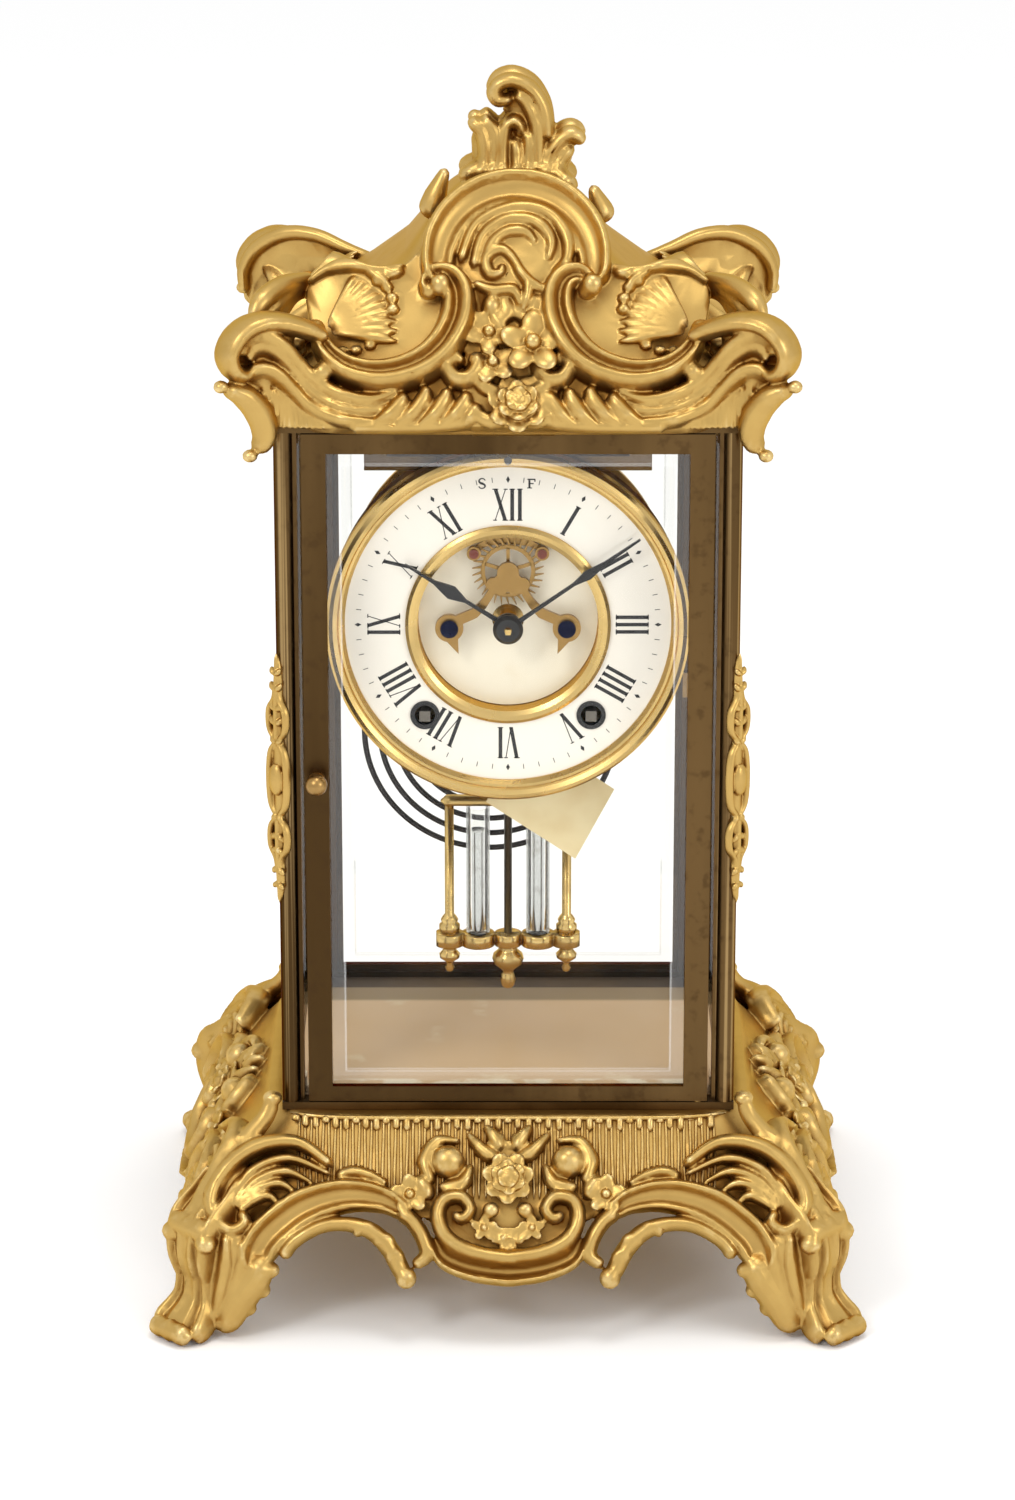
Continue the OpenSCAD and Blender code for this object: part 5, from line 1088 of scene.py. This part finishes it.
def leg(clay):
    """Scroll foot of the front left corner: knee, fluted shank and out-turned toe."""
    corner = np.array((-76.5, -57.5, 0))
    ahead = np.array((-math.cos(math.radians(46)), -math.sin(math.radians(46)), 0))
    out = np.array((ahead[1], -ahead[0], 0))
    reach = 43 / 48

    def lay(points, shift):
        return np.array([corner + ahead * p * reach + out * shift + (0, 0, z) for p, z in spline(points)])

    shank = [(14, 49), (24, 41), (32, 36), (35, 28), (33, 19), (34, 11), (40, 5.2), (46, 3.8)]
    shank_wide = [5.5, 6, 6, 5.2, 4.6, 4.4, 4, 3.4]
    clay.sweep(lay(shank, 0), out, shank_wide, [7.4, 8.6, 8.6, 7.8, 7.2, 7.6, 8.4, 8.4])
    for shift in (-6.9, -2.3, 2.3, 6.9):
        narrow = np.array([1.0, 1.1, 1.15, 1.0, 0.84, 0.95, 1.2, 1.3]) * shift
        path = lay(shank, 0)
        path = path + along(narrow, len(path))[:, None] * out
        clay.sweep(path, out, [6.2, 6.8, 6.8, 6, 5.2, 5, 4.6, 3.6], [2.2, 2.4, 2.4, 2.1, 1.9, 2.1, 2.5, 2.5])
    across = np.linspace(-9, 9, 9)
    for p, z, r, lobes in ((36.5, 36, 4.0, 0.7), (47.5, 3.9, 3.4, 0.5)):
        roll = np.array([lay([(p, z), (p + 1, z)], shift)[0] for shift in across])
        clay.sweep(roll, ahead, r + lobes * np.cos(across * 1.15), r)
    for shift in (-7.5, 7.5):
        clay.ball(lay([(38, 33), (39, 33)], shift)[0], (3.6, 3.6, 3.2))


def hatching(clay):
    """Upright strokes on the ground of the base and a scalloped fringe under its edge."""
    reach = 66.0
    gap = 1.9
    for x in np.arange(-reach, reach + 0.1, gap):
        z = np.linspace(65.2, 44, 12)
        path = np.array([(x + 0.12 * math.sin(1.7 * x + 0.3 * h), BASE.front(x, h) - 0.1, h) for h in z])
        clay.sweep(path, FLARE, [0.45, 0.6, 0.45], 0.6)
    fringe_reach = 62.4
    fringe_gap = 9.6
    for x in np.arange(-fringe_reach, fringe_reach + 0.1, fringe_gap):
        for shift, drop, wide in ((-4.8, 1.6, 1.3), (-1.7, 3.2, 1.1), (1.7, 3.6, 1.1)):
            z = np.linspace(65.6, 65.0 - drop, 6)
            path = np.array([(x + shift, BASE.front(x, h) - 0.6, h) for h in z])
            clay.sweep(path, FLARE, [wide * 1.2, wide, wide, wide * 1.1], 1.0)
    rail = np.array([(x, BASE.front(x, 65) - 0.5, 65.0) for x in np.linspace(-69, 69, 40)])
    clay.sweep(rail, FLARE, 0.8, 1.0)


def to_side(clay, wall, spread, rise, foot):
    """The ornament of the front of a wall, fitted to its right side."""
    verts = np.vstack(clay.verts)
    z = foot + (verts[:, 2] - foot) * rise
    stand = -verts[:, 1] - wall.half(verts[:, 2])[1]
    turned = Clay()
    turned.add(np.column_stack([wall.half(z)[0] + stand, verts[:, 0] * spread, z]), clay.faces)
    return turned


class CLOCK_OT_crown(bpy.types.Operator):
    """Casts the crown: roof, ears, scrolls, shield, flowers and finial"""

    bl_idname = "clock.crown"
    bl_label = "Crown casting"

    def execute(self, context):
        sizes = context.scene.clock_sizes
        clay = Clay()
        crown_bands(clay)
        scroll = Clay()
        crown_scroll(scroll)
        flank = Clay()
        for part in (clay, scroll):
            flank.add(np.vstack(part.verts), part.faces)
        side = to_side(flank, CROWN, spread=0.74, rise=0.8, foot=CASE_TOP)
        side.copy(1, -1)
        rose_z = 300
        side.rose(np.array((CROWN.half(rose_z)[0] + 4, 0, rose_z)), (0.8, 0, 0.6), 8)
        crown_ear(clay)
        clay.copy(-1, 1)
        clay.add(np.vstack(side.verts), side.faces)
        clay.copy(-1, -1)
        front = Clay()
        crown_scroll(front)
        pediment(front)
        rear_ear(front)
        front.copy(-1, 1)
        crown_middle(front)
        clay.add(np.vstack(front.verts), front.faces)
        finial(clay)
        count = 96
        inner_rim = CROWN.ring(CASE_TOP, count, 3.2)
        recess = [inner_rim + (0, 0, 0.1), inner_rim + (0, 0, -2.5)]
        heights = np.concatenate([[286.6, CASE_TOP], np.linspace(292, 358, 40)])
        clay.skin(np.array(recess + [CROWN.ring(z, count) for z in heights]))
        obj = clay.cast("crown", sizes.grain, sizes.ornament_faces)
        dress(obj, finishes(context)["gilt"], "case", "gilt", "top_casting")
        return {"FINISHED"}


class CLOCK_OT_base(bpy.types.Operator):
    """Casts the base: flared walls, arches, scrolls, flowers and four scroll feet"""

    bl_idname = "clock.base"
    bl_label = "Base casting"

    def execute(self, context):
        sizes = context.scene.clock_sizes
        clay = Clay()
        base_front(clay)
        side = to_side(clay, BASE, spread=0.82, rise=1.0, foot=0.0)
        side.copy(1, -1)
        rose_z = 52
        side.rose(np.array((BASE.half(rose_z)[0] + 5, 0, rose_z)), (0.85, 0, 0.5), 8)
        base_corner(clay)
        leg(clay)
        clay.copy(-1, 1)
        rose_at = (508, 1178)
        clay.rose(spot(*rose_at, BASE.front, 5), FLARE, 8.4)
        clay.add(np.vstack(side.verts), side.faces)
        clay.copy(-1, -1)
        self.walls(clay)
        obj = clay.cast("base", sizes.grain, sizes.ornament_faces)
        dress(obj, finishes(context)["gilt"], "case", "gilt", "base_casting")
        ground = Clay()
        hatching(ground)
        ground.copy(-1, -1)
        dress(ground.cast("base_hatching"), finishes(context)["gilt"], "case", "gilt")
        return {"FINISHED"}

    @staticmethod
    def walls(clay):
        """Flared shell with arched lower edges, and the deck under the case."""
        count = 220
        front = [(0, 24), (12, 27), (24, 25), (27, 33), (31, 41), (38, 44), (57, 45), (70, 42)]
        front += [(84, 33), (92, 22), (120, 16)]
        side = [(0, 24), (12, 26), (20, 21), (26, 26), (33, 36), (42, 43), (54, 42), (66, 33)]
        side += [(74, 22), (110, 16)]
        middle = BASE.ring(40, count)
        a, b = BASE.half(40)
        toward_front = np.abs(middle[:, 1]) / b > np.abs(middle[:, 0]) / a
        front_edge = np.interp(np.abs(middle[:, 0]), *zip(*front))
        side_edge = np.interp(np.abs(middle[:, 1]), *zip(*side))
        low = np.where(toward_front, front_edge, side_edge)
        rings = []
        thickness = 3.4
        for inset, ways in ((0.0, np.linspace(0, 1, 14)), (thickness, np.linspace(1, 0, 14))):
            for t in ways:
                z = low + t * (BASE_TOP - low)
                rings.append(np.array([BASE.ring(zi, count, inset)[i] for i, zi in enumerate(z)]))
        clay.skin(np.array(rings), wrap=True)
        clay.skin(np.array([BASE.ring(z, 96, 1.0) for z in (62.5, 65.4)]))


class CLOCK_OT_corner_mounts(bpy.types.Operator):
    """Casts the four ornaments half way up the columns"""

    bl_idname = "clock.corner_mounts"
    bl_label = "Corner mounts"

    def execute(self, context):
        clay = Clay()
        out = unit((-0.72, -0.69, 0))
        core = np.array((-70.6, -55.1, 0.0))

        def lay(points, lift=0.0):
            across = np.array((-0.69, 0.72, 0))
            return np.array([core + across * p + out * lift + (0, 0, z) for p, z in spline(points)])

        boss = lay([(0, 176), (0, 177)], 1.6)[0]
        clay.ball(boss, (3.0, 2.2, 5.4), (np.cross((0, 0, 1), out), out, (0, 0, 1)))
        strands = (
            ([(0.6, 164), (3.2, 168), (3.9, 176), (3.2, 184), (0.6, 188)], 1.3),
            ([(0, 188), (3.4, 192), (3.6, 198), (1.2, 202), (0.4, 206)], 1.1),
            ([(0, 164), (3.4, 160), (3.6, 154), (1.2, 150), (0.4, 146)], 1.1),
        )
        for hand in (-1, 1):
            for points, wide in strands:
                strand = lay([(hand * p, z) for p, z in points], 0.6)
                clay.sweep(strand, out, [wide * 0.8, wide, wide * 0.7], 1.7)
        clay.leaf(lay([(0, 188), (0, 202), (0, 217)], 1.0), out, 3.0, 1.5, 5)
        clay.leaf(lay([(0, 164), (0, 150), (0, 135)], 1.0), out, 3.0, 1.5, 5)
        clay.sweep(lay([(0, 136), (0, 176), (0, 216)], 0.3), out, [1.4, 2.4, 1.4], 1.4)
        clay.copy(-1, 1)
        clay.copy(1, -1)
        mount_grain = 0.00026
        mount_faces = 60000
        obj = clay.cast("corner_ornaments", mount_grain, mount_faces, 1)
        dress(obj, finishes(context)["gilt"], "case", "gilt", "corner_mounts")
        return {"FINISHED"}


# dial and fittings


def on_dial(points, front):
    """Points of the dial plane as clock coordinates."""
    return np.array([(x, -front, DIAL_Z + up) for x, up in points])


class Marks:
    """Flat dark marks on the dial: closed outlines that share one mesh."""

    def __init__(self, front):
        self.front = front
        self.verts = []
        self.faces = []

    def outline(self, points):
        start = len(self.verts)
        self.verts += [tuple(p) for p in on_dial(points, self.front) * MM]
        self.faces.append(tuple(range(start, start + len(points))))

    def stroke(self, points, half):
        path = np.asarray(points, float)
        way = np.gradient(path, axis=0)
        side = unit(np.column_stack([way[:, 1], -way[:, 0]]))
        w = along(half, len(path))[:, None]
        left, right = path + side * w, path - side * w
        for i in range(len(path) - 1):
            self.outline([left[i], left[i + 1], right[i + 1], right[i]])

    def cast(self, name):
        mesh = bpy.data.meshes.new(name)
        mesh.from_pydata(self.verts, [], self.faces)
        work = bmesh.new()
        work.from_mesh(mesh)
        for face in work.faces:
            face.normal_update()
            if face.normal.y > 0:
                face.normal_flip()
        work.to_mesh(mesh)
        work.free()
        obj = bpy.data.objects.new(name, mesh)
        bpy.context.scene.collection.objects.link(obj)
        return obj


THICK = 0.56
THIN = 0.14
LETTER_WIDTH = {"I": 2.3, "V": 4.6, "X": 4.8}
NUMERALS = ("XII", "I", "II", "III", "IIII", "V", "VI", "VII", "VIII", "IX", "X", "XI")


def letter(kind):
    """Outlines of a Roman letter, ten units high, centred."""

    def bar(x0, x1, low, high, half):
        return [(x0 - half, low), (x0 + half, low), (x1 + half, high), (x1 - half, high)]

    def serif(x, y, half):
        return [(x - half, y - THIN), (x + half, y - THIN), (x + half, y + THIN), (x - half, y + THIN)]

    if kind == "I":
        return [bar(0, 0, 0, 10, THICK), serif(0, 0.2, 0.85), serif(0, 9.8, 0.85)]
    if kind == "V":
        return [
            bar(0.25, -1.55, 0, 10, THICK),
            bar(0.25, 1.8, 0, 10, THIN),
            serif(-1.55, 9.8, 0.9),
            serif(1.75, 9.8, 0.6),
        ]
    return [
        bar(1.5, -1.5, 0, 10, THICK),
        bar(-1.6, 1.6, 0, 10, THIN),
        serif(1.5, 0.2, 0.9),
        serif(-1.5, 9.8, 0.9),
        serif(-1.6, 0.2, 0.6),
        serif(1.6, 9.8, 0.6),
    ]


class CLOCK_OT_dial_marks(bpy.types.Operator):
    """Draws the numerals, the minute track and the regulator letters on the porcelain"""

    bl_idname = "clock.dial_marks"
    bl_label = "Dial marks"

    def execute(self, context):
        sizes = context.scene.clock_sizes
        foot, head = sizes.numeral_foot / MM, sizes.numeral_head / MM
        marks = Marks(DIAL_FRONT + sizes.ink_rise / MM)
        scale = (head - foot) / 10
        for hour, word in enumerate(NUMERALS):
            turn = math.radians(30 * hour)
            c, s = math.cos(turn), math.sin(turn)
            x = -sum(LETTER_WIDTH[k] for k in word) / 2
            for kind in word:
                mid = x + LETTER_WIDTH[kind] / 2
                x += LETTER_WIDTH[kind]
                for points in letter(kind):
                    flat = [((mid + px) * scale, foot + py * scale) for px, py in points]
                    marks.outline([(px * c + py * s, py * c - px * s) for px, py in flat])
        track_low = 45.9
        track_high = 47.5
        diamond_middle = 46.7
        diamond_long = 1.1
        diamond_wide = 0.6
        for minute in range(60):
            turn = math.radians(6 * minute)
            ray = np.array((math.sin(turn), math.cos(turn)))
            across = np.array((ray[1], -ray[0]))
            if minute % 5:
                marks.stroke([ray * track_low, ray * track_high], 0.11)
            else:
                middle = ray * diamond_middle
                long = ray * diamond_long
                wide = across * diamond_wide
                marks.outline([middle - long, middle + wide, middle + long, middle - wide])
        bow = [(1.0, 2.5), (0.4, 3.05), (-0.5, 3.0), (-0.95, 2.3), (-0.5, 1.7), (0.4, 1.35)]
        bow += [(0.95, 0.75), (0.5, 0.1), (-0.4, 0.0), (-1.05, 0.6)]
        slow_x = -8.0
        letter_foot = 43.9
        slow = [(x + slow_x, y + letter_foot) for x, y in spline(bow, 5)]
        marks.stroke(slow, [0.16, 0.2, 0.38, 0.2, 0.16])
        fast = (
            ([(6.6, 43.9), (6.6, 46.9)], 0.32),
            ([(6.0, 46.75), (8.4, 46.75)], 0.2),
            ([(8.3, 46.8), (8.3, 46.0)], 0.18),
            ([(6.6, 45.4), (7.9, 45.4)], 0.18),
            ([(5.9, 44.0), (7.4, 44.0)], 0.16),
        )
        for points, half in fast:
            marks.stroke(points, half)
        dress(marks.cast("dial_marks"), finishes(context)["ink"], "case", "black_steel")
        return {"FINISHED"}


class CLOCK_OT_gong(bpy.types.Operator):
    """Winds the flat spiral gong as one smooth wire"""

    bl_idname = "clock.gong"
    bl_label = "Gong"

    def execute(self, context):
        low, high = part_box("gong")
        depth = (low.y + high.y) / 2 / MM
        wire = context.scene.clock_sizes.gong_wire / MM
        turns = 4.5
        inner = 20.0
        centre_x = -7.0
        centre_up = -56.0
        block_x = 29.9
        block_up = -34.0
        outer = math.hypot(block_x - centre_x, block_up - centre_up)
        start = math.degrees(math.atan2(block_up - centre_up, block_x - centre_x)) - 360 * turns
        steps = int(turns * 96)
        path = []
        for i in range(steps + 1):
            a = math.radians(start + 360 * turns * i / steps)
            r = inner + (outer - inner) * i / steps
            path.append((centre_x + r * math.cos(a), depth, DIAL_Z + centre_up + r * math.sin(a)))
        clay = Clay()
        circle = np.array([(math.cos(a), math.sin(a)) for a in np.arange(10) * 2 * math.pi / 10])
        clay.sweep(np.array(path), (0, -1, 0), wire, wire, circle)
        dress(clay.cast("gong_wire"), finishes(context)["dark_steel"], "case", "dark_steel", "gong")
        return {"FINISHED"}


def body_of(node):
    """Body that carries a construction piece."""
    bodies = frame["record"]["behaviour"]["bodies"]
    return next(name for name, nodes in bodies.items() if node in nodes)


def prism(clay, outline, front, back):
    """A flat piece of the dial: an outline about the dial centre between two depths."""
    clay.skin(np.array([on_dial(outline, front), on_dial(outline, back)]))


def disc(radius, at=(0.0, 0.0), count=32):
    turns = np.arange(count) * 2 * math.pi / count
    return np.column_stack([at[0] + radius * np.cos(turns), at[1] + radius * np.sin(turns)])


def lathe(clay, x, y, profile, count=28):
    """A turned piece on an upright axis: radius and height by turns."""
    turns = np.arange(count) * 2 * math.pi / count
    rings = []
    for r, z in profile:
        rings.append(np.column_stack([x + r * np.cos(turns), y + r * np.sin(turns), np.full(count, z)]))
    clay.skin(np.array(rings))


def flat_shaded(obj):
    """Keeps the corners of a cut piece crisp."""
    obj.data.polygons.foreach_set("use_smooth", [False] * len(obj.data.polygons))
    return obj


class CLOCK_OT_hands(bpy.types.Operator):
    """Cuts the two slender hands, each with a pear-shaped swelling"""

    bl_idname = "clock.hands"
    bl_label = "Hands"

    def execute(self, context):
        black = finishes(context)["black_steel"]
        hub = 4.3
        for node, toward, bulge, half in (("hour_hand", -1, 21.5, 2.2), ("minute_hand", 1, 31.0, 1.6)):
            low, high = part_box(node)
            tip = np.array(((low.x if toward < 0 else high.x) / MM, high.z / MM - DIAL_Z))
            reach = np.linalg.norm(tip)
            ahead = tip / reach
            across = np.array((ahead[1], -ahead[0]))
            outline = [(0.9, 0), (0.6, 8), (0.5, bulge - 6), (half * 0.6, bulge - 3.6), (half, bulge - 0.8)]
            outline += [(half * 0.7, bulge + 2), (0.6, bulge + 5.5), (0.3, reach)]
            right = [across * w + ahead * d for w, d in outline]
            left = [-across * w + ahead * d for w, d in reversed(outline)]
            clay = Clay()
            prism(clay, right + left, -low.y / MM, -high.y / MM)
            prism(clay, disc(hub), -low.y / MM, -high.y / MM)
            dress(flat_shaded(clay.cast(node + "_plate")), black, body_of(node), "black_steel", node)
        return {"FINISHED"}


class CLOCK_OT_escapement(bpy.types.Operator):
    """Cuts the escape wheel with its spokes and hooked teeth, and sets the two pallet stones in collars"""

    bl_idname = "clock.escapement"
    bl_label = "Escapement"

    def execute(self, context):
        made = finishes(context)
        low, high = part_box("escape_wheel")
        up = (low.z + high.z) / 2 / MM - DIAL_Z
        tip = (high.x - low.x) / 2 / MM
        front = 33.6
        back = 32.8
        inner = 7.2
        outer = 8.5
        root = 8.3
        teeth = 30
        spokes = 5
        spoke_half = 0.55
        clay = Clay()
        turns = np.arange(120) * 2 * math.pi / 120
        section = ((inner, front), (outer, front), (outer, back), (inner, back))
        rim = []
        for a in turns:
            rim.append([(r * math.cos(a), -y, DIAL_Z + up + r * math.sin(a)) for r, y in section])
        clay.skin(np.array(rim), wrap=True)

        def polar(r, part):
            a = 2 * math.pi * part
            return (r * math.cos(a), up + r * math.sin(a))

        for i in range(teeth):
            heel = [polar(root, i / teeth), polar(root, (i + 0.5) / teeth)]
            hook = [polar(tip, (i + 0.68) / teeth), polar(tip, (i + 0.6) / teeth)]
            prism(clay, heel + hook, front, back)
        for i in range(spokes):
            a = 2 * math.pi * (i + 0.25) / spokes
            ahead = np.array((math.cos(a), math.sin(a)))
            across = np.array((-math.sin(a), math.cos(a))) * spoke_half
            start = np.array((0, up)) + ahead
            end = np.array((0, up)) + ahead * (inner + 0.3)
            prism(clay, [start + across, end + across, end - across, start - across], front, back)
        prism(clay, disc(1.7, (0, up)), front + 0.4, back - 0.4)
        prism(clay, disc(0.6, (0, up), 16), -low.y / MM, -high.y / MM)
        leaves = [polar(2.0 if k % 2 else 1.2, k / 16) for k in range(16)]
        prism(clay, leaves, 3.0, 0.2)
        wheel = flat_shaded(clay.cast("escape_wheel_plate"))
        dress(wheel, made["bronze"], body_of("escape_wheel"), "brass", "escape_wheel")
        body = body_of("pallet_jewels")
        stone_x = 10.6
        stone_up = 22.4
        stones = Clay()
        collars = Clay()
        for hand in (-1, 1):
            at = (hand * stone_x, stone_up)
            prism(collars, disc(2.2, at), 34.4, 32.4)
            prism(stones, disc(1.5, at), 35.0, 32.0)
        dress(flat_shaded(stones.cast("pallet_stones")), made["jewel"], body, "jewel", "pallet_jewels")
        dress(flat_shaded(collars.cast("pallet_collars")), made["bronze"], body, "steel")
        return {"FINISHED"}


class CLOCK_OT_pendulum(bpy.types.Operator):
    """Turns the rods and finials of the pendulum and cuts its scalloped plate"""

    bl_idname = "clock.pendulum"
    bl_label = "Pendulum"

    def execute(self, context):
        made = finishes(context)
        low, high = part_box("pendulum_frame")
        y = (low.y + high.y) / 2 / MM
        bar = high.z / MM - 2
        plate_low = 94.0
        plate_high = 98.6
        post = 19.2
        vial = 9.8
        clay = Clay()
        plate_reach = 23.6
        bar_reach = 22
        x = np.linspace(-plate_reach, plate_reach, 161)
        lobes = ((-post, 4.6), (-vial, 5.4), (0, 4.4), (vial, 5.4), (post, 4.6))
        half = np.max([np.sqrt(np.maximum(r * r - (x - c) ** 2, 0.01)) for c, r in lobes], axis=0)
        rings = []
        for z, inset in ((plate_low, 0.5), (plate_low + 0.5, 0), (plate_high - 0.5, 0), (plate_high, 0.5)):
            edge = np.column_stack([x, y - np.maximum(half - inset, 0.05), np.full(len(x), z)])
            rings.append(np.vstack([edge, (edge * (1, -1, 1) + (0, 2 * y, 0))[::-1]]))
        clay.skin(np.array(rings))
        side = [(0.3, 84.6), (1.0, 85), (1.6, 86.2), (1.0, 87.5), (1.5, 88.4), (3.2, 89.7), (3.4, 91)]
        side += [(2.4, 92.2), (2.0, 93), (3.0, 94)]
        side += [(3.0, 99), (3.4, 99.8), (3.4, 101.2), (2.5, 102), (2.9, 103), (2.2, 104.2)]
        side += [(1.5, 105), (1.5, bar)]
        for hand in (-1, 1):
            lathe(clay, hand * post, y, side)
        middle = [(0.4, 79), (1.4, 79.2), (2.2, 80.2), (2.6, 82), (2.0, 84), (1.7, 85), (2.6, 86)]
        middle += [(4.6, 87.6), (5.2, 89.4)]
        middle += [(4.8, 91), (3.4, 92.2), (3.0, 93), (3.0, 95)]
        lathe(clay, 0, y, middle)
        bar_path = np.array([(t, y, bar) for t in np.linspace(-bar_reach, bar_reach, 23)])
        clay.sweep(bar_path, (0, 0, 1), 2.5, 2.2)
        body = body_of("pendulum_frame")
        dress(clay.cast("pendulum_brass"), made["brass"], body, "brass", "pendulum_frame")
        rod = Clay()
        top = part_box("pendulum_rod")[1].z / MM
        profile = [(0.2, 94.4), (1.3, 94.5), (1.3, top - 6), (2.6, top - 5.5), (2.6, top - 0.3), (0.2, top)]
        lathe(rod, 0, y, profile)
        rod_body = body_of("pendulum_rod")
        dress(rod.cast("pendulum_steel"), made["worn_steel"], rod_body, "steel", "pendulum_rod")
        return {"FINISHED"}


class CLOCK_OT_finish(bpy.types.Operator):
    """Gives every construction piece its finish"""

    bl_idname = "clock.finish"
    bl_label = "Finishes of the pieces"

    def execute(self, context):
        made = finishes(context)
        special = {"bottom_frame": "floor", "bezel": "bezel", "sight_ring": "bezel", "dial_centre": "centre"}
        special |= {"front_glass": "front_pane", "rear_glass": "rear_pane", "vials": "vial"}
        special["regulator_arbor"] = "black_steel"
        special |= {name: "bronze" for name in ("anchor", "escapement_bridge", "front_knob", "rear_knob")}
        special["movement_carrier"] = "dark_brass"
        special |= {name: "worn_steel" for name in ("time_winding_arbor", "strike_winding_arbor")}
        slots = {piece["node"]: piece["material_slot"] for piece in frame["record"]["subparts"]}
        special |= {name: "column" for name in slots if name.startswith("column_")}
        for name, obj in frame["nodes"].items():
            obj.data.materials.clear()
            obj.data.materials.append(made[special.get(name, slots[name])])
        return {"FINISHED"}


# stage


class CLOCK_OT_stage(bpy.types.Operator):
    """Sets the pale floor, the soft studio light and the camera"""

    bl_idname = "clock.stage"
    bl_label = "Stage"

    def execute(self, context):
        scene = context.scene
        white = tuple(scene.clock_colours.backdrop)
        self.world(scene, white)
        self.floor(scene, white)
        self.lamp("key", (-0.9, -1.3, 1.4), 0.5, 9.0)
        self.lamp("fill", (1.2, -1.1, 0.8), 0.5, 5.0)
        self.lamp("top", (0.1, -0.3, 1.7), 0.5, 5.0)
        data = bpy.data.cameras.new("camera")
        data.lens = FOCAL * SENSOR / PICTURE_HEIGHT
        data.sensor_width = SENSOR
        camera = bpy.data.objects.new("camera", data)
        camera.location = [c * MM for c in EYE]
        camera.rotation_euler = (math.pi / 2 - EYE_TILT, 0, 0)
        scene.collection.objects.link(camera)
        scene.camera = camera
        scene.view_settings.view_transform = "Standard"
        return {"FINISHED"}

    @staticmethod
    def world(scene, white):
        world = bpy.data.worlds.new("studio")
        world.use_nodes = True
        sky = Nodes(world.node_tree)
        unseen = 0.95
        seen = sky.ray("Is Camera Ray").most(sky.ray("Is Glossy Ray")).most(sky.ray("Is Transmission Ray"))
        background = sky.tree.nodes["Background"]
        sky.feed(background.inputs["Color"], white)
        sky.feed(background.inputs["Strength"], unseen + (1.0 - unseen) * seen)
        scene.world = world

    @staticmethod
    def floor(scene, white):
        mesh = bpy.data.meshes.new("floor")
        half = 6
        corners = [(-half, -half, 0), (half, -half, 0), (half, half, 0), (-half, half, 0)]
        mesh.from_pydata(corners, [], [(0, 1, 2, 3)])
        floor = bpy.data.objects.new("floor", mesh)
        scene.collection.objects.link(floor)
        f = Finish("pale floor")
        f.feed(f.shader.inputs["Specular IOR Level"], 0.0)
        mesh.materials.append(f.principled(base_color=white, roughness=0.9))

    @staticmethod
    def lamp(name, place, size, power):
        data = bpy.data.lights.new(name, "AREA")
        data.size = size
        data.energy = power
        lamp = bpy.data.objects.new(name, data)
        lamp.location = place
        clock_middle = Vector((0, 0, 0.2))
        lamp.rotation_euler = (clock_middle - Vector(place)).to_track_quat("-Z", "Y").to_euler()
        bpy.context.scene.collection.objects.link(lamp)


class CLOCK_PT_panel(bpy.types.Panel):
    """Sizes, colours and steps of the clock"""

    bl_idname = "CLOCK_PT_panel"
    bl_label = "Crystal regulator clock"
    bl_space_type = "VIEW_3D"
    bl_region_type = "UI"
    bl_category = "Clock"

    def draw(self, context):
        layout = self.layout
        for group in (context.scene.clock_sizes, context.scene.clock_colours):
            for name in group.__annotations__:
                layout.prop(group, name)
        for step in STEPS:
            layout.operator(step.bl_idname)


STEPS = (
    CLOCK_OT_finish,
    CLOCK_OT_crown,
    CLOCK_OT_base,
    CLOCK_OT_corner_mounts,
    CLOCK_OT_dial_marks,
    CLOCK_OT_hands,
    CLOCK_OT_escapement,
    CLOCK_OT_pendulum,
    CLOCK_OT_gong,
    CLOCK_OT_stage,
)
CLASSES = (ClockColours, ClockSizes, *STEPS, CLOCK_PT_panel)


def register():
    for cls in CLASSES:
        bpy.utils.register_class(cls)
    bpy.types.Scene.clock_colours = PointerProperty(type=ClockColours)
    bpy.types.Scene.clock_sizes = PointerProperty(type=ClockSizes)


def unregister():
    del bpy.types.Scene.clock_sizes
    del bpy.types.Scene.clock_colours
    for cls in reversed(CLASSES):
        bpy.utils.unregister_class(cls)


def main():
    register()
    for step in STEPS:
        group, name = step.bl_idname.split(".")
        getattr(getattr(bpy.ops, group), name)()


if __name__ == "__main__":
    main()
